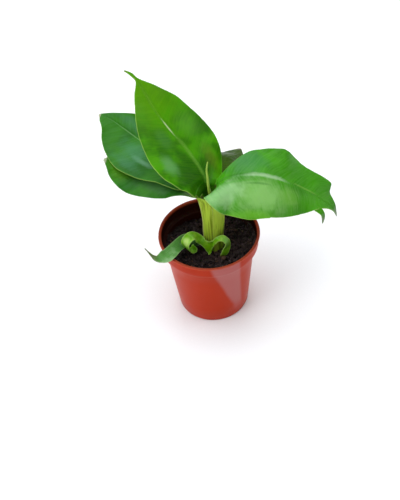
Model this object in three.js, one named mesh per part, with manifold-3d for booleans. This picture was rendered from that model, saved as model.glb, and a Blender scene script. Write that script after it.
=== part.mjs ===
import * as THREE from 'three';
import { mergeVertices } from 'three/addons/utils/BufferGeometryUtils.js';
import Module from 'manifold-3d';

// Dwarf banana plant in its small nursery pot, millimetres, +Z up, origin under the pot's centre.
const wasm = await Module();
wasm.setup();

// Pot
const potSegments = 64;
const rimRadius = 30;
const potHeight = 57;
const baseRadius = 21.5;
const stepRadius = 26.6;
const stepHeight = 47.4;
const bandRadius = 29.0;
const bandBottom = 48.5;
const lipDepth = 1.3;
const wall = 0.9;
const floorThickness = 1.1;
const baseRounding = 1.1;
const drainCount = 6;
const drainRadius = 2.2;
const drainCircle = 13;

// Soil
const fit = 0.3;
const soilSectors = 48;
const soilRings = 9;
const stemHoleX = 1.95;
const stemHoleRadius = 6.75;
const stemHoleFloor = 33.6;
const ledgeBottom = stepHeight + 0.65;
const ledgeTop = bandBottom + 1.15;
const soilReach = 27;
const soilLevel = 45.7;
const sideHeap = 4.6;
const frontHeap = 1.1;
const backLeftDip = 2.6;
const lumpHeights = [0.45, 0.3, 0.2];
const crumbCount = 26;
const crumbInner = 11;
const crumbSpread = 13;

// Plant
const sheathThickness = 0.7;
const bladeThickness = 0.62;
const ribExtra = 0.55;
const ribStart = 0.3;
const ribEase = 6;
const ribReach = 0.12;
const coreSides = 20;
const spearSides = 10;

function material(name, colour, roughness) {
  const m = new THREE.MeshStandardMaterial({ color: colour, roughness, metalness: 0 });
  m.name = name;
  return m;
}

function seeded(seed) {
  let s = seed;
  return () => {
    s = (s * 1664525 + 1013904223) % 4294967296;
    return s / 4294967296;
  };
}

function geometryOf(points, faces) {
  const g = new THREE.BufferGeometry();
  g.setAttribute('position', new THREE.Float32BufferAttribute(points.flat(), 3));
  g.setIndex(faces.flat());
  return g;
}

function toSolid(geometry) {
  const bare = new THREE.BufferGeometry();
  bare.setAttribute('position', geometry.getAttribute('position').clone());
  if (geometry.index) bare.setIndex(geometry.index.clone());
  const joined = mergeVertices(bare, 1e-5);
  return new wasm.Manifold(new wasm.Mesh({
    numProp: 3,
    vertProperties: new Float32Array(joined.getAttribute('position').array),
    triVerts: new Uint32Array(joined.index.array),
  }));
}

function fromSolid(solid) {
  const mesh = solid.getMesh();
  const g = new THREE.BufferGeometry();
  g.setAttribute('position', new THREE.BufferAttribute(new Float32Array(mesh.vertProperties), 3));
  g.setIndex(new THREE.BufferAttribute(new Uint32Array(mesh.triVerts), 1));
  return g;
}

// Values along the stations, smoothed as one curve through all of them
function smoothRow(rows, u) {
  const last = rows.length - 1;
  const p = last * u;
  let i = Math.min(Math.floor(p), last - 1);
  const w = p - i;
  const ends = (a, b) => a.map((v, k) => 2 * v - b[k]);
  const p0 = i > 0 ? rows[i - 1] : ends(rows[0], rows[1]);
  const p3 = i + 2 <= last ? rows[i + 2] : ends(rows[last], rows[last - 1]);
  return rows[i].map((a, k) => {
    const b = rows[i + 1][k];
    const t0 = 0.5 * (b - p0[k]);
    const t1 = 0.5 * (p3[k] - a);
    return a + t0 * w + (3 * (b - a) - 2 * t0 - t1) * w * w + (2 * (a - b) + t0 + t1) * w ** 3;
  });
}

// Blade surface: each station holds the midrib point, the way its upper face looks, and for the
// left and right half the width, lift and curl in degrees, and the sweep along the midrib
function bladeSurface(stations, rowCount, shares) {
  const flat = stations.map((s) => s.flat());
  const rows = [];
  for (let i = 0; i < rowCount; i += 1) rows.push(smoothRow(flat, i / (rowCount - 1)));
  const at = rows.map((r) => new THREE.Vector3(r[0], r[1], r[2]));
  return rows.map((r, i) => {
    const before = at[Math.max(i - 1, 0)];
    const after = at[Math.min(i + 1, rowCount - 1)];
    const along = after.clone().sub(before).normalize();
    const face = new THREE.Vector3(r[3], r[4], r[5]);
    face.addScaledVector(along, -face.dot(along)).normalize();
    const side = new THREE.Vector3().crossVectors(along, face);
    return shares.map((share) => {
      const [width, lift, curl, sweep] = share < 0 ? r.slice(6, 10) : r.slice(10, 14);
      const reach = Math.abs(share);
      const a = THREE.MathUtils.degToRad(lift);
      const k = THREE.MathUtils.degToRad(curl);
      let out = width * reach * Math.cos(a);
      let up = width * reach * Math.sin(a);
      if (Math.abs(k) > 0.001) {
        out = (width / k) * (Math.sin(a + k * reach) - Math.sin(a));
        up = (width / k) * (Math.cos(a) - Math.cos(a + k * reach));
      }
      return at[i].clone()
        .addScaledVector(side, Math.sign(share) * out)
        .addScaledVector(face, up)
        .addScaledVector(along, sweep * reach * reach);
    });
  });
}

// Closed blade: the surface thickened both ways, both faces split into triangles alike
function bladeSolid(stations, rowCount, shares, thickness, rib) {
  const grid = bladeSurface(stations, rowCount, shares);
  const columns = shares.length;
  const normal = (i, j) => {
    const a = grid[Math.min(i + 1, rowCount - 1)][j].clone().sub(grid[Math.max(i - 1, 0)][j]);
    const b = grid[i][Math.min(j + 1, columns - 1)].clone().sub(grid[i][Math.max(j - 1, 0)]);
    return new THREE.Vector3().crossVectors(b, a).normalize();
  };
  const points = [];
  for (const sign of [1, -1]) {
    for (let i = 0; i < rowCount; i += 1) {
      for (let j = 0; j < columns; j += 1) {
        const ridge = sign < 0 ? rib * Math.max(0, 1 - Math.abs(shares[j]) / ribReach) : 0;
        const along = i / (rowCount - 1);
        const taper = Math.min(1, Math.max(0, (along - ribStart) * ribEase)) * (1 - along ** 2);
        const away = sign * (thickness / 2 + ridge * taper);
        points.push(grid[i][j].clone().addScaledVector(normal(i, j), away).toArray());
      }
    }
  }
  const layer = rowCount * columns;
  const id = (i, j, under) => i * columns + j + (under ? layer : 0);
  const faces = [];
  for (let i = 0; i + 1 < rowCount; i += 1) {
    for (let j = 0; j + 1 < columns; j += 1) {
      faces.push([id(i, j), id(i + 1, j + 1), id(i + 1, j)], [id(i, j), id(i, j + 1), id(i + 1, j + 1)]);
      faces.push([id(i, j, 1), id(i + 1, j, 1), id(i + 1, j + 1, 1)]);
      faces.push([id(i, j, 1), id(i + 1, j + 1, 1), id(i, j + 1, 1)]);
    }
  }
  const edge = (a, b, c, d) => faces.push([a, c, b], [a, d, c]);
  for (let i = 0; i + 1 < rowCount; i += 1) {
    const far = columns - 1;
    edge(id(i, 0), id(i, 0, 1), id(i + 1, 0, 1), id(i + 1, 0));
    edge(id(i + 1, far), id(i + 1, far, 1), id(i, far, 1), id(i, far));
  }
  for (let j = 0; j + 1 < columns; j += 1) {
    const far = rowCount - 1;
    edge(id(0, j + 1), id(0, j + 1, 1), id(0, j, 1), id(0, j));
    edge(id(far, j), id(far, j, 1), id(far, j + 1, 1), id(far, j + 1));
  }
  return geometryOf(points, faces);
}

// Round body along a path: rings of the given radii, closed at both ends
function tubeSolid(path, radii, rings, sides) {
  const rows = path.map((p, i) => [...p, radii[i]]);
  const points = [];
  const faces = [];
  for (let i = 0; i < rings; i += 1) {
    const [x, y, z, radius] = smoothRow(rows, i / (rings - 1));
    for (let j = 0; j < sides; j += 1) {
      const turn = (2 * Math.PI * j) / sides;
      points.push([x + radius * Math.cos(turn), y + radius * Math.sin(turn), z]);
    }
  }
  const id = (i, j) => i * sides + (j % sides);
  for (let i = 0; i + 1 < rings; i += 1) {
    for (let j = 0; j < sides; j += 1) {
      faces.push([id(i, j), id(i, j + 1), id(i + 1, j + 1)], [id(i, j), id(i + 1, j + 1), id(i + 1, j)]);
    }
  }
  for (let j = 1; j + 1 < sides; j += 1) {
    faces.push([id(0, 0), id(0, j + 1), id(0, j)]);
    faces.push([id(rings - 1, 0), id(rings - 1, j), id(rings - 1, j + 1)]);
  }
  return geometryOf(points, faces);
}

// Body turned about the upright axis: the outline starts and ends on the axis
function turned(outline, segments) {
  const inner = outline.slice(1, -1);
  const points = [[0, 0, outline[0][1]], [0, 0, outline[outline.length - 1][1]]];
  for (const [radius, z] of inner) {
    for (let j = 0; j < segments; j += 1) {
      const turn = (2 * Math.PI * j) / segments;
      points.push([radius * Math.cos(turn), radius * Math.sin(turn), z]);
    }
  }
  const id = (i, j) => 2 + i * segments + (j % segments);
  const faces = [];
  const last = inner.length - 1;
  for (let j = 0; j < segments; j += 1) {
    faces.push([0, id(0, j + 1), id(0, j)]);
    faces.push([1, id(last, j), id(last, j + 1)]);
    for (let i = 0; i < last; i += 1) {
      faces.push([id(i, j), id(i, j + 1), id(i + 1, j + 1)], [id(i, j), id(i + 1, j + 1), id(i + 1, j)]);
    }
  }
  return geometryOf(points, faces);
}

function potGeometry() {
  const outline = [
    [0, 0],
    [baseRadius - baseRounding, 0],
    [baseRadius - 0.3 * baseRounding, 0.3 * baseRounding],
    [baseRadius, baseRounding],
    [stepRadius, stepHeight],
    [bandRadius - 0.25, bandBottom - 0.15],
    [bandRadius, bandBottom + 0.3],
    [rimRadius - 0.8, potHeight - lipDepth],
    [rimRadius - 0.1, potHeight - lipDepth + 0.2],
    [rimRadius, potHeight - 0.5 * lipDepth],
    [rimRadius - 0.2, potHeight - 0.15],
    [rimRadius - 0.7, potHeight],
    [rimRadius - 1.5, potHeight - 0.15],
    [rimRadius - 1.8, potHeight - 0.5 * lipDepth],
    [bandRadius - wall, bandBottom + 0.8],
    [stepRadius - wall, stepHeight + 0.3],
    [baseRadius - wall + 0.1, floorThickness + 0.7],
    [baseRadius - wall - 0.7, floorThickness],
    [0, floorThickness],
  ];
  let solid = toSolid(turned(outline, potSegments));
  for (let i = 0; i < drainCount; i += 1) {
    const turn = (2 * Math.PI * (i + 0.5)) / drainCount;
    const hole = new THREE.CylinderGeometry(drainRadius, drainRadius, 6, 16);
    hole.rotateX(Math.PI / 2);
    hole.translate(drainCircle * Math.cos(turn), drainCircle * Math.sin(turn), 0);
    solid = solid.subtract(toSolid(hole));
  }
  return fromSolid(solid);
}

// Room inside the pot at a height
function roomRadius(z) {
  const low = baseRadius - wall - fit;
  const middle = stepRadius - wall - fit;
  const high = bandRadius - wall - fit;
  if (z >= ledgeTop) return high;
  if (z >= ledgeBottom) {
    return THREE.MathUtils.mapLinear(z, ledgeBottom, ledgeTop, middle, high);
  }
  return THREE.MathUtils.mapLinear(z, floorThickness, ledgeBottom, low, middle);
}

// Height of the soil: heaped at the left and right wall, low at the back left and by the stem
function soilHeight(x, y) {
  const side = (x / soilReach) ** 2;
  const front = Math.max(0, -y / soilReach);
  const backLeft = Math.max(0, (y - x) / 38 - 0.2);
  const [broad, middle, fine] = lumpHeights;
  const lumps = broad * Math.sin(0.61 * x + 1.3) * Math.sin(0.53 * y - 0.4)
    + middle * Math.sin(1.27 * x - 0.9 * y) + fine * Math.cos(1.9 * y + 0.7 * x);
  const reach = Math.hypot(x - stemHoleX, y);
  const calm = Math.min(1, Math.max(0, (reach - stemHoleRadius) / 6));
  return soilLevel + sideHeap * side + frontHeap * front - backLeftDip * backLeft + lumps * calm;
}

function soilGeometry() {
  const points = [];
  const faces = [];
  const n = soilSectors;
  const ring = [];
  const turns = Array.from({ length: n }, (_, j) => (2 * Math.PI * j) / n);
  const addRing = (place) => {
    ring.push(points.length);
    turns.forEach((turn, j) => points.push(place(turn, j)));
  };
  const holePoint = (turn) => [
    stemHoleX + stemHoleRadius * Math.cos(turn),
    stemHoleRadius * Math.sin(turn),
  ];
  const edgeHeight = (turn) => soilHeight(soilReach * Math.cos(turn), soilReach * Math.sin(turn));
  addRing((turn) => [...holePoint(turn), stemHoleFloor]);
  for (let i = 0; i <= soilRings; i += 1) {
    addRing((turn) => {
      const share = (i / soilRings) ** 0.9;
      const rim = roomRadius(edgeHeight(turn));
      const [hx, hy] = holePoint(turn);
      const x = hx + share * (rim * Math.cos(turn) - hx);
      const y = hy + share * (rim * Math.sin(turn) - hy);
      return [x, y, i === soilRings ? edgeHeight(turn) : soilHeight(x, y)];
    });
  }
  const wallRing = (height) => addRing((turn) => {
    const z = height(edgeHeight(turn));
    return [roomRadius(z) * Math.cos(turn), roomRadius(z) * Math.sin(turn), z];
  });
  wallRing((h) => Math.min(h - 0.4, ledgeTop));
  wallRing((h) => Math.min(h - 0.8, ledgeBottom));
  wallRing(() => floorThickness + 0.8);
  addRing((turn) => {
    const radius = baseRadius - wall - 0.7 - fit;
    return [radius * Math.cos(turn), radius * Math.sin(turn), floorThickness + fit];
  });
  for (let i = 0; i + 1 < ring.length; i += 1) {
    for (let j = 0; j < n; j += 1) {
      const k = (j + 1) % n;
      faces.push([ring[i] + j, ring[i + 1] + j, ring[i + 1] + k]);
      faces.push([ring[i] + j, ring[i + 1] + k, ring[i] + k]);
    }
  }
  const holeCentre = points.length;
  points.push([stemHoleX, 0, stemHoleFloor]);
  const floorCentre = points.length;
  points.push([0, 0, floorThickness + fit]);
  const last = ring[ring.length - 1];
  for (let j = 0; j < n; j += 1) {
    const k = (j + 1) % n;
    faces.push([holeCentre, ring[0] + j, ring[0] + k]);
    faces.push([floorCentre, last + k, last + j]);
  }
  let solid = toSolid(geometryOf(points, faces));
  const random = seeded(41);
  for (let i = 0; i < crumbCount; i += 1) {
    const turn = 2 * Math.PI * random();
    const reach = crumbInner + crumbSpread * random();
    const size = 1.0 + 0.9 * random();
    const x = reach * Math.cos(turn);
    const y = reach * Math.sin(turn);
    const crumb = new THREE.IcosahedronGeometry(size, 0);
    crumb.scale(1, 0.8, 0.7);
    crumb.rotateZ(6 * random());
    crumb.rotateX(random());
    crumb.translate(x, y, soilHeight(x, y) + 0.15 * size);
    solid = solid.add(toSolid(crumb));
  }
  return fromSolid(solid);
}

const bladeShares = [-1, -0.8, -0.55, -0.3, -0.1, 0, 0.1, 0.3, 0.55, 0.8, 1];
const ribbonShares = [-1, -0.5, 0, 0.5, 1];

// Tall middle leaf, leaning back, hollow towards the front, with a thread at its tip
const leafTall = [
  [[3, 3.9, 72.5], [0, -1, 0], [5.4, 0, 80, 0], [5.4, 0, 80, 0]],
  [[2.9, 4, 80], [0, -1, 0], [5.5, 0, 80, 0], [5.5, 0, 80, 0]],
  [[2, 4.1, 86], [0, -1, 0.15], [5.4, 14, 60, 3.4], [5.4, 0, 75, 0]],
  [[0.5, 4, 91.5], [0.1, -1, 0.4], [9.22, 38.46, 20, -1.33], [6, 14, 60, -0.3]],
  [[0.09, 5.24, 94.25], [0.12, -1, 0.5], [11.12, 33.73, 18, -6.23], [9.4, 9.4, 60.7, -0.4]],
  [[-0.5, 7, 97], [0.15, -1, 0.6], [19.19, 25.82, 22, -1.03], [13.3, 4, 62, -0.4]],
  [[-3.5, 11, 102.5], [0.25, -1, 0.75], [24, 20, 20, 3], [18.5, 12, 52, 0]],
  [[-9.5, 17, 111], [0.3, -1, 0.8], [24.5, 14, 18, 1.6], [19, 10, 38, 0]],
  [[-17.5, 23, 121], [0.3, -1, 0.85], [21, 10, 16, 0], [17, 10, 28, 0]],
  [[-24, 28, 131], [0.3, -1, 0.85], [15, 10, 15, 0], [14, 8, 20, 0]],
  [[-28.5, 31, 141], [0.3, -1, 0.85], [7.5, 8, 10, 0], [7, 8, 10, 0]],
  [[-31.5, 32.5, 148], [0.3, -1, 0.85], [1.3, 0, 0, 0], [1.3, 0, 0, 0]],
  [[-34.5, 33, 152], [0.3, -1, 0.85], [0.9, 0, 0, 0], [0.9, 0, 0, 0]],
  [[-38, 33.5, 154.5], [0.3, -1, 0.85], [0.4, 0, 0, 0], [0.4, 0, 0, 0]],
];

// Upper left leaf
const leafLeftUpper = [
  [[-1.1, 2.9, 72.5], [0.82, -0.57, 0], [3.8, 0, 44, 0], [3.8, 0, 44, 0]],
  [[-1.2, 3, 80], [0.82, -0.57, 0], [3.9, 0, 44, 0], [3.9, 0, 44, 0]],
  [[-2.8, 4.5, 86], [0.8, -0.5, 0.3], [3.2, 0, 25, 0], [4.6, 0, 35, 0]],
  [[-5.5, 8.3, 89.6], [0.3, -0.3, 0.9], [6, 3, 10, -1], [6.5, 3, 10, -1]],
  [[-9.5, 13, 92.5], [0.15, -0.2, 1], [13, 5, 0, -3], [10, 5, 0, -2]],
  [[-17.5, 21.5, 95], [0.1, -0.15, 1], [18, 6, -8, -1], [16, 5, 0, 0]],
  [[-27, 29, 99], [0.05, -0.2, 1], [22, 4, -10, 0], [17.5, 5, 0, 0]],
  [[-35.5, 35.5, 103], [0, -0.2, 1], [23, 2, -10, 0], [16, 5, 0, 0]],
  [[-43.5, 41, 107.5], [-0.1, -0.25, 1], [18.5, 2, -10, 0], [11.5, 5, 0, 0]],
  [[-50.5, 45.5, 111.5], [-0.1, -0.3, 1], [11, 2, -5, 0], [5, 5, 0, 0]],
  [[-55.5, 47.5, 113.5], [-0.1, -0.3, 1], [4, 0, 0, 0], [1.6, 0, 0, 0]],
  [[-57.5, 48, 114], [-0.1, -0.3, 1], [0.5, 0, 0, 0], [0.5, 0, 0, 0]],
];

// Lower left leaf: its sheath wraps the left half of the stem
const leafLeftLower = [
  [[-3.3, 0, 34], [1, 0, 0], [8.2, 0, 89, 0], [8.2, 0, 89, 0]],
  [[-3.2, 0, 56], [1, 0, 0], [8.4, 0, 89, 0], [8.4, 0, 89, 0]],
  [[-2.9, 0, 68], [1, 0, 0], [9, 0, 88, 0], [9, 0, 88, 0]],
  [[-3.8, 0.2, 79], [1, 0, 0.1], [10.4, 6, 80, -0.1], [9.2, 0, 80, 0]],
  [[-5.6, 0.8, 86], [1, 0, 0.5], [9.7, 12, 60, -2.9], [8, 0, 55, 0]],
  [[-10, 3.2, 88.6], [0.5, -0.1, 1], [5.3, 11, 25, -5], [6, -5, 0, -1]],
  [[-19, 10.5, 89], [0.1, -0.1, 1], [9.5, -8, -15, -1], [10, 0, 0, 0]],
  [[-30, 15, 90.5], [0, -0.1, 1], [12.3, -8, -18, 0], [14, 5, 0, 0]],
  [[-40.5, 19, 93], [-0.1, -0.1, 1], [13, -8, -18, 0], [13, 5, 0, 0]],
  [[-49.5, 22, 97], [-0.1, -0.1, 1], [9, -8, -10, 0], [8, 5, 0, 0]],
  [[-54.5, 23.5, 99.5], [-0.1, -0.1, 1], [3.2, 0, 0, 0], [3, 0, 0, 0]],
  [[-56.5, 24, 100.5], [-0.1, -0.1, 1], [0.5, 0, 0, 0], [0.5, 0, 0, 0]],
];

// Right leaf: its sheath is the outermost one, round the right half of the stem
const leafRight = [
  [[8.15, 0, 34], [-1, 0, 0], [9.8, 0, 91, 0], [9.8, 0, 91, 0]],
  [[8.3, 0, 54], [-1, 0, 0], [10, 0, 91, 0], [10, 0, 91, 0]],
  [[9.6, 0, 68], [-1, 0, 0], [10.9, 0, 91, 0], [10.9, 0, 91, 0]],
  [[9.6, -0.3, 79], [-1, 0, 0], [6.4, 0, 54, 0], [10.9, 0, 88, 0]],
  [[8.2, -1.4, 89], [-1, 0, 0.15], [1.4, 0, 5, 0], [9.5, 0, 80, -1]],
  [[7, -2.5, 97], [-0.85, -0.1, 0.6], [2.6, 8, 10, 0], [10, 20, 55, -5]],
  [[13.2, -3.5, 103], [-0.35, -0.15, 1], [6, 5, 0, -1], [19.5, -12, -42, -9]],
  [[23, -4.5, 105], [0, -0.2, 1], [14.3, 13, -15, 0.8], [25, -14, -45, -3]],
  [[32, -5.5, 104.5], [0.2, -0.2, 1], [19, 5, -18, 0.1], [25.7, -13, -45, -0.3]],
  [[40.3, -6.4, 101.6], [0.35, -0.2, 1], [22.5, 8, -18, 1.8], [23.3, -10, -45, 0.5]],
  [[44.4, -6.8, 99.3], [0.38, -0.2, 1], [22.4, 9, -18, 0.3], [22, -9, -45, 0.7]],
  [[51, -7.5, 95], [0.45, -0.2, 1], [20.5, 3, -18, 1.6], [18.9, -9, -45, 0.3]],
  [[60.5, -8.5, 88], [0.6, -0.2, 1], [16, 7, -8, 0.5], [11.7, -10, -40, -0.4]],
  [[65.4, -9.2, 83.5], [0.8, -0.2, 0.9], [13.5, 15, 0, 3.3], [5.5, 3, -20, 0]],
  [[69.22, -9.2, 79.47], [1, -0.2, 0.5], [7.3, 12, 0, -0.4], [3.1, -2, 0, -0.9]],
  [[72.03, -9, 75.18], [1, -0.2, 0.2], [3, 23, 0, -0.9], [1.5, -4, 0, -0.8]],
  [[74.02, -8.6, 69.93], [1, -0.2, 0], [0.5, 0, 0, 0], [0.5, 0, 0, 0]],
];

// Torn flap hanging from the margin near the tip of the right leaf
const tornFlap = [
  [[60.63, -14.9, 83.58], [0.3, -0.9, 0.3], [1.5, 0, 0, 0], [1.5, 0, 0, 0]],
  [[62.91, -15.7, 82.48], [0.3, -0.9, 0.3], [1.7, 0, 0, 0], [1.7, 0, 0, 0]],
  [[64.59, -16.6, 80.12], [0.3, -0.9, 0.3], [1.25, 0, 0, 0], [1.25, 0, 0, 0]],
  [[64.78, -17.6, 77.72], [0.3, -0.9, 0.3], [0.9, 0, 0, 0], [0.9, 0, 0, 0]],
  [[64.4, -17.8, 74.07], [0.3, -0.9, 0.3], [0.3, 0, 0, 0], [0.3, 0, 0, 0]],
];

// Short leaf at the back
const leafBack = [
  [[7.2, 2.9, 72.5], [-0.82, -0.57, 0], [3.8, 0, 44, 0], [3.8, 0, 44, 0]],
  [[7.1, 3.2, 80], [-0.82, -0.57, 0], [3.9, 0, 44, 0], [3, 0, 34, 0]],
  [[6.6, 4.4, 86.5], [-0.7, -0.6, 0.15], [4.5, 0, 35, 0], [1.4, 0, 10, 0]],
  [[8.6, 10, 91.5], [-0.2, -0.4, 0.9], [5.5, 0, 10, 0], [5.5, 0, 5, 0]],
  [[10.5, 18.5, 93], [-0.1, 0, 1], [10, 0, 0, -1], [9, -10, 0, -1]],
  [[14, 27, 91.5], [-0.05, 0.1, 1], [14.5, 0, 0, 0], [9, -15, -30, 0]],
  [[20.5, 36, 84.5], [-0.05, 0.3, 1], [13, 0, 0, 0], [5, -20, -30, 0]],
  [[23, 43, 81], [-0.05, 0.4, 1], [6, 0, 0, 0], [2, -20, -20, 0]],
  [[23.5, 47, 78.5], [0, 0.6, 1], [0.5, 0, 0, 0], [0.5, 0, 0, 0]],
];

// Burst base sheath: coil at the left, V at the front of the stem, hook at the right
const oldSheath = [
  [[-9, -6.5, 53], [0.5, 0.4, 0.8], [2.4, 0, 0, 0], [2.2, 0, 0, 0]],
  [[-10, -7.5, 51], [0.6, 0.5, -0.6], [2.8, 0, 0, 0], [2.4, 0, 0, 0]],
  [[-12.5, -9.5, 53], [-0.2, -0.15, -1], [3, 0, 0, 0], [2.8, 0, 0, 0]],
  [[-14.5, -11, 59], [-0.75, -0.6, -0.3], [3.2, 0, 0, 0], [3.2, 0, 0, 0]],
  [[-13.5, -10.5, 63], [-0.6, -0.45, 0.6], [3.3, 0, 0, 0], [3.4, 0, 0, 0]],
  [[-10, -7.5, 63], [0, -0.1, 1], [3.4, 0, 0, 0], [3.6, 0, 0, 0]],
  [[-6, -5.5, 57.5], [0.45, -0.75, 0.8], [2.8, 0, 0, 0], [2.6, 0, 0, 0]],
  [[-3.85, -6.35, 55.36], [-0.2, -1, 0.5], [2.3, 4, 0, -0.4], [2.3, -4, 0, 0.4]],
  [[-1.89, -7.43, 55.18], [-0.3, -1, 0.3], [2.1, 2, 0, 0.3], [5, -2, 0, -0.8]],
  [[-0.45, -8.34, 55.64], [-0.1, -1, 0.3], [1.9, 6, 0, 0.8], [7.5, -6, 0, -3.4]],
  [[1.03, -8.3, 56.25], [0.1, -1, 0.3], [1.6, 9, 0, 0.7], [4.7, -9, 0, -2.2]],
  [[2.71, -8.03, 56.9], [0.1, -0.9, 0.5], [1.4, -11, 0, 1.1], [1.7, 11, 0, -1.3]],
  [[5.06, -8.7, 59.57], [0, -0.6, 0.9], [1.7, -13, 0, 0.3], [1.7, 13, 0, -0.3]],
  [[7.83, -9.35, 60.36], [0.3, -0.4, 1], [2.1, -6, 0, -0.3], [2.1, 6, 0, 0.3]],
  [[10, -10.5, 58], [0.8, -0.5, 0.5], [2.6, 0, 0, 0], [2.2, 0, 0, 0]],
  [[9.5, -10.5, 53.5], [0.75, -0.75, 0.1], [2.8, 9, 0, 0.1], [2.4, -8, 0, -0.3]],
  [[8.25, -11.6, 50.61], [0.6, -0.75, 0.1], [2.4, 12, 0, 0], [2.4, -12, 0, -0.2]],
  [[6.62, -11.5, 47.3], [0.5, -0.8, 0.1], [1.5, 15, 0, -0.3], [1.5, -16, 0, -0.1]],
];

// Oldest leaf, passing behind the coil and over the rim
const oldLeafLeft = [
  [[-6.8, -1.2, 47.8], [-0.5, -0.2, 0.4], [1.6, 0, 0, 0], [1.6, 0, 0, 0]],
  [[-10, -1.8, 50.8], [-0.5, -0.5, 0.6], [3, 0, 0, 0], [3, 0, 0, 0]],
  [[-14, -3, 54.5], [0.7, -0.42, 0.58], [3.2, 0, 0, 0], [4.3, 0, 0, 0]],
  [[-19.4, -9.3, 56.7], [0.55, -0.13, 0.82], [3.2, 0, 0, 0], [4, 0, 0, 0]],
  [[-24, -16, 59], [0.33, 0.05, 0.94], [4.1, 0, 0, 0], [4.1, 0, 0, 0]],
  [[-27, -19, 60], [0.42, -0.23, 0.88], [3.9, 0, 0, 0], [3.9, 0, 0, 0]],
  [[-31, -21, 61], [0.54, -0.28, 0.79], [2, 0, 0, 0], [2, 0, 0, 0]],
  [[-33.5, -21, 63.5], [0.57, -0.51, 0.64], [1, 0, 0, 0], [1, 0, 0, 0]],
  [[-35.5, -20, 66], [0.63, -0.4, 0.66], [0.3, 0, 0, 0], [0.3, 0, 0, 0]],
  [[-37.5, -19, 68.5], [0.64, -0.43, 0.64], [0.2, 0, 0, 0], [0.2, 0, 0, 0]],
];

// Young inner sheaths at the heart of the stem
const stemPath = [[1.9, 0, 34], [2, 0, 50], [2.6, 0, 62], [3.1, 0, 72]];
const stemRadii = [3.9, 4.4, 4.8, 4.9];

// Newest leaf, still rolled
const spearPath = [
  [3, -0.3, 72.5],
  [2.9, -0.5, 84],
  [2, -1, 94.5],
  [1.8, 0, 101],
  [1.6, 1, 106],
  [2.5, 2, 111],
];
const spearRadii = [1.3, 1.1, 0.8, 0.62, 0.52, 0.3];

const leafGreen = material('leaf_green', 0x3f8a17, 0.42);
const leafDark = material('leaf_dark_green', 0x2f6b2a, 0.42);
const leafOlive = material('leaf_olive_green', 0x3d5a12, 0.45);
const stemGreen = material('stem_yellow_green', 0x9bb03a, 0.5);
const youngGreen = material('young_leaf_green', 0xa9d04c, 0.45);
const sheathGreen = material('old_sheath_green', 0x7fae24, 0.4);
const oldGreen = material('old_leaf_grey_green', 0x6f9a72, 0.55);
const peat = material('peat_soil', 0x1c1613, 0.95);
const plastic = material('terracotta_plastic', 0xb9482f, 0.3);

const plant = new THREE.Group();
plant.name = 'dwarf_banana_plant_in_pot';
function place(name, geometry, surface) {
  const flat = geometry.index ? geometry.toNonIndexed() : geometry;
  flat.computeVertexNormals();
  const mesh = new THREE.Mesh(flat, surface);
  mesh.name = name;
  plant.add(mesh);
}

const torn = toSolid(bladeSolid(tornFlap, 13, ribbonShares, bladeThickness, 0));
const right = toSolid(bladeSolid(leafRight, 38, bladeShares, sheathThickness, ribExtra));

place('pot', potGeometry(), plastic);
place('soil', soilGeometry(), peat);
place('pseudostem', tubeSolid(stemPath, stemRadii, 9, coreSides), stemGreen);
place('leaf_tall', bladeSolid(leafTall, 34, bladeShares, bladeThickness, ribExtra), leafGreen);
place('leaf_left_upper', bladeSolid(leafLeftUpper, 28, bladeShares, bladeThickness, ribExtra), leafDark);
place('leaf_left_lower', bladeSolid(leafLeftLower, 30, bladeShares, sheathThickness, ribExtra), leafDark);
place('leaf_right', fromSolid(right.add(torn)), leafGreen);
place('leaf_back', bladeSolid(leafBack, 22, bladeShares, bladeThickness, ribExtra), leafOlive);
place('new_leaf_spear', tubeSolid(spearPath, spearRadii, 14, spearSides), youngGreen);
place('old_sheath', bladeSolid(oldSheath, 52, ribbonShares, bladeThickness, 0), sheathGreen);
place('old_leaf_left', bladeSolid(oldLeafLeft, 24, ribbonShares, bladeThickness, 0), oldGreen);

export default plant;
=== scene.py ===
import math
import random

import bpy
import numpy as np
from mathutils import Matrix, Vector, noise


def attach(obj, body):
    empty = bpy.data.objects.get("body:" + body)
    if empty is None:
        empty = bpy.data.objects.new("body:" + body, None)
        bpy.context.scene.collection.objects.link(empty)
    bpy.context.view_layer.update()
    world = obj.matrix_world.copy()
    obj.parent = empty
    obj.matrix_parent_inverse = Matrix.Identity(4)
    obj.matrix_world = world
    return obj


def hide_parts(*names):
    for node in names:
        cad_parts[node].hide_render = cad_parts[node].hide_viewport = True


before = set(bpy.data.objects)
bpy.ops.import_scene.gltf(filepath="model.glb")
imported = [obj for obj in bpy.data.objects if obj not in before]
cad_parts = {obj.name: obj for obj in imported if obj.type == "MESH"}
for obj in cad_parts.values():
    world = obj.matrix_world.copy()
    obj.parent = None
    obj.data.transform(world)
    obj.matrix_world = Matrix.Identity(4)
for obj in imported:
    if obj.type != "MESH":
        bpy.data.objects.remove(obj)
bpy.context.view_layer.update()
mm = 0.001


# sRGB hex to the linear colour that the nodes want
def toLinear(hexCode):
    parts = [int(hexCode[i:i + 2], 16) / 255 for i in (0, 2, 4)]
    return tuple(c / 12.92 if c <= 0.04045 else ((c + 0.055) / 1.055) ** 2.4 for c in parts) + (1.0,)


# adds a node with its settings, wires or fills its inputs, and gives back one of its outputs
def put(tree, kind, inputs, out=0, **settings):
    node = tree.nodes.new("ShaderNode" + kind)
    for key, value in settings.items():
        setattr(node, key, value)
    for key, value in inputs.items():
        if isinstance(value, bpy.types.NodeSocket):
            tree.links.new(value, node.inputs[key])
        else:
            node.inputs[key].default_value = toLinear(value) if isinstance(value, str) else value
    return node.outputs[out] if len(node.outputs) else node

# settings for nodes that blend two colours, and for ranges that ease in and out
colourMix = {"out": 2, "data_type": "RGBA"}
smooth = {"interpolation_type": "SMOOTHSTEP"}


def newMaterial(name):
    made = bpy.data.materials.new(name)
    made.use_nodes = True
    made.node_tree.nodes.clear()
    return made, made.node_tree


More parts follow.
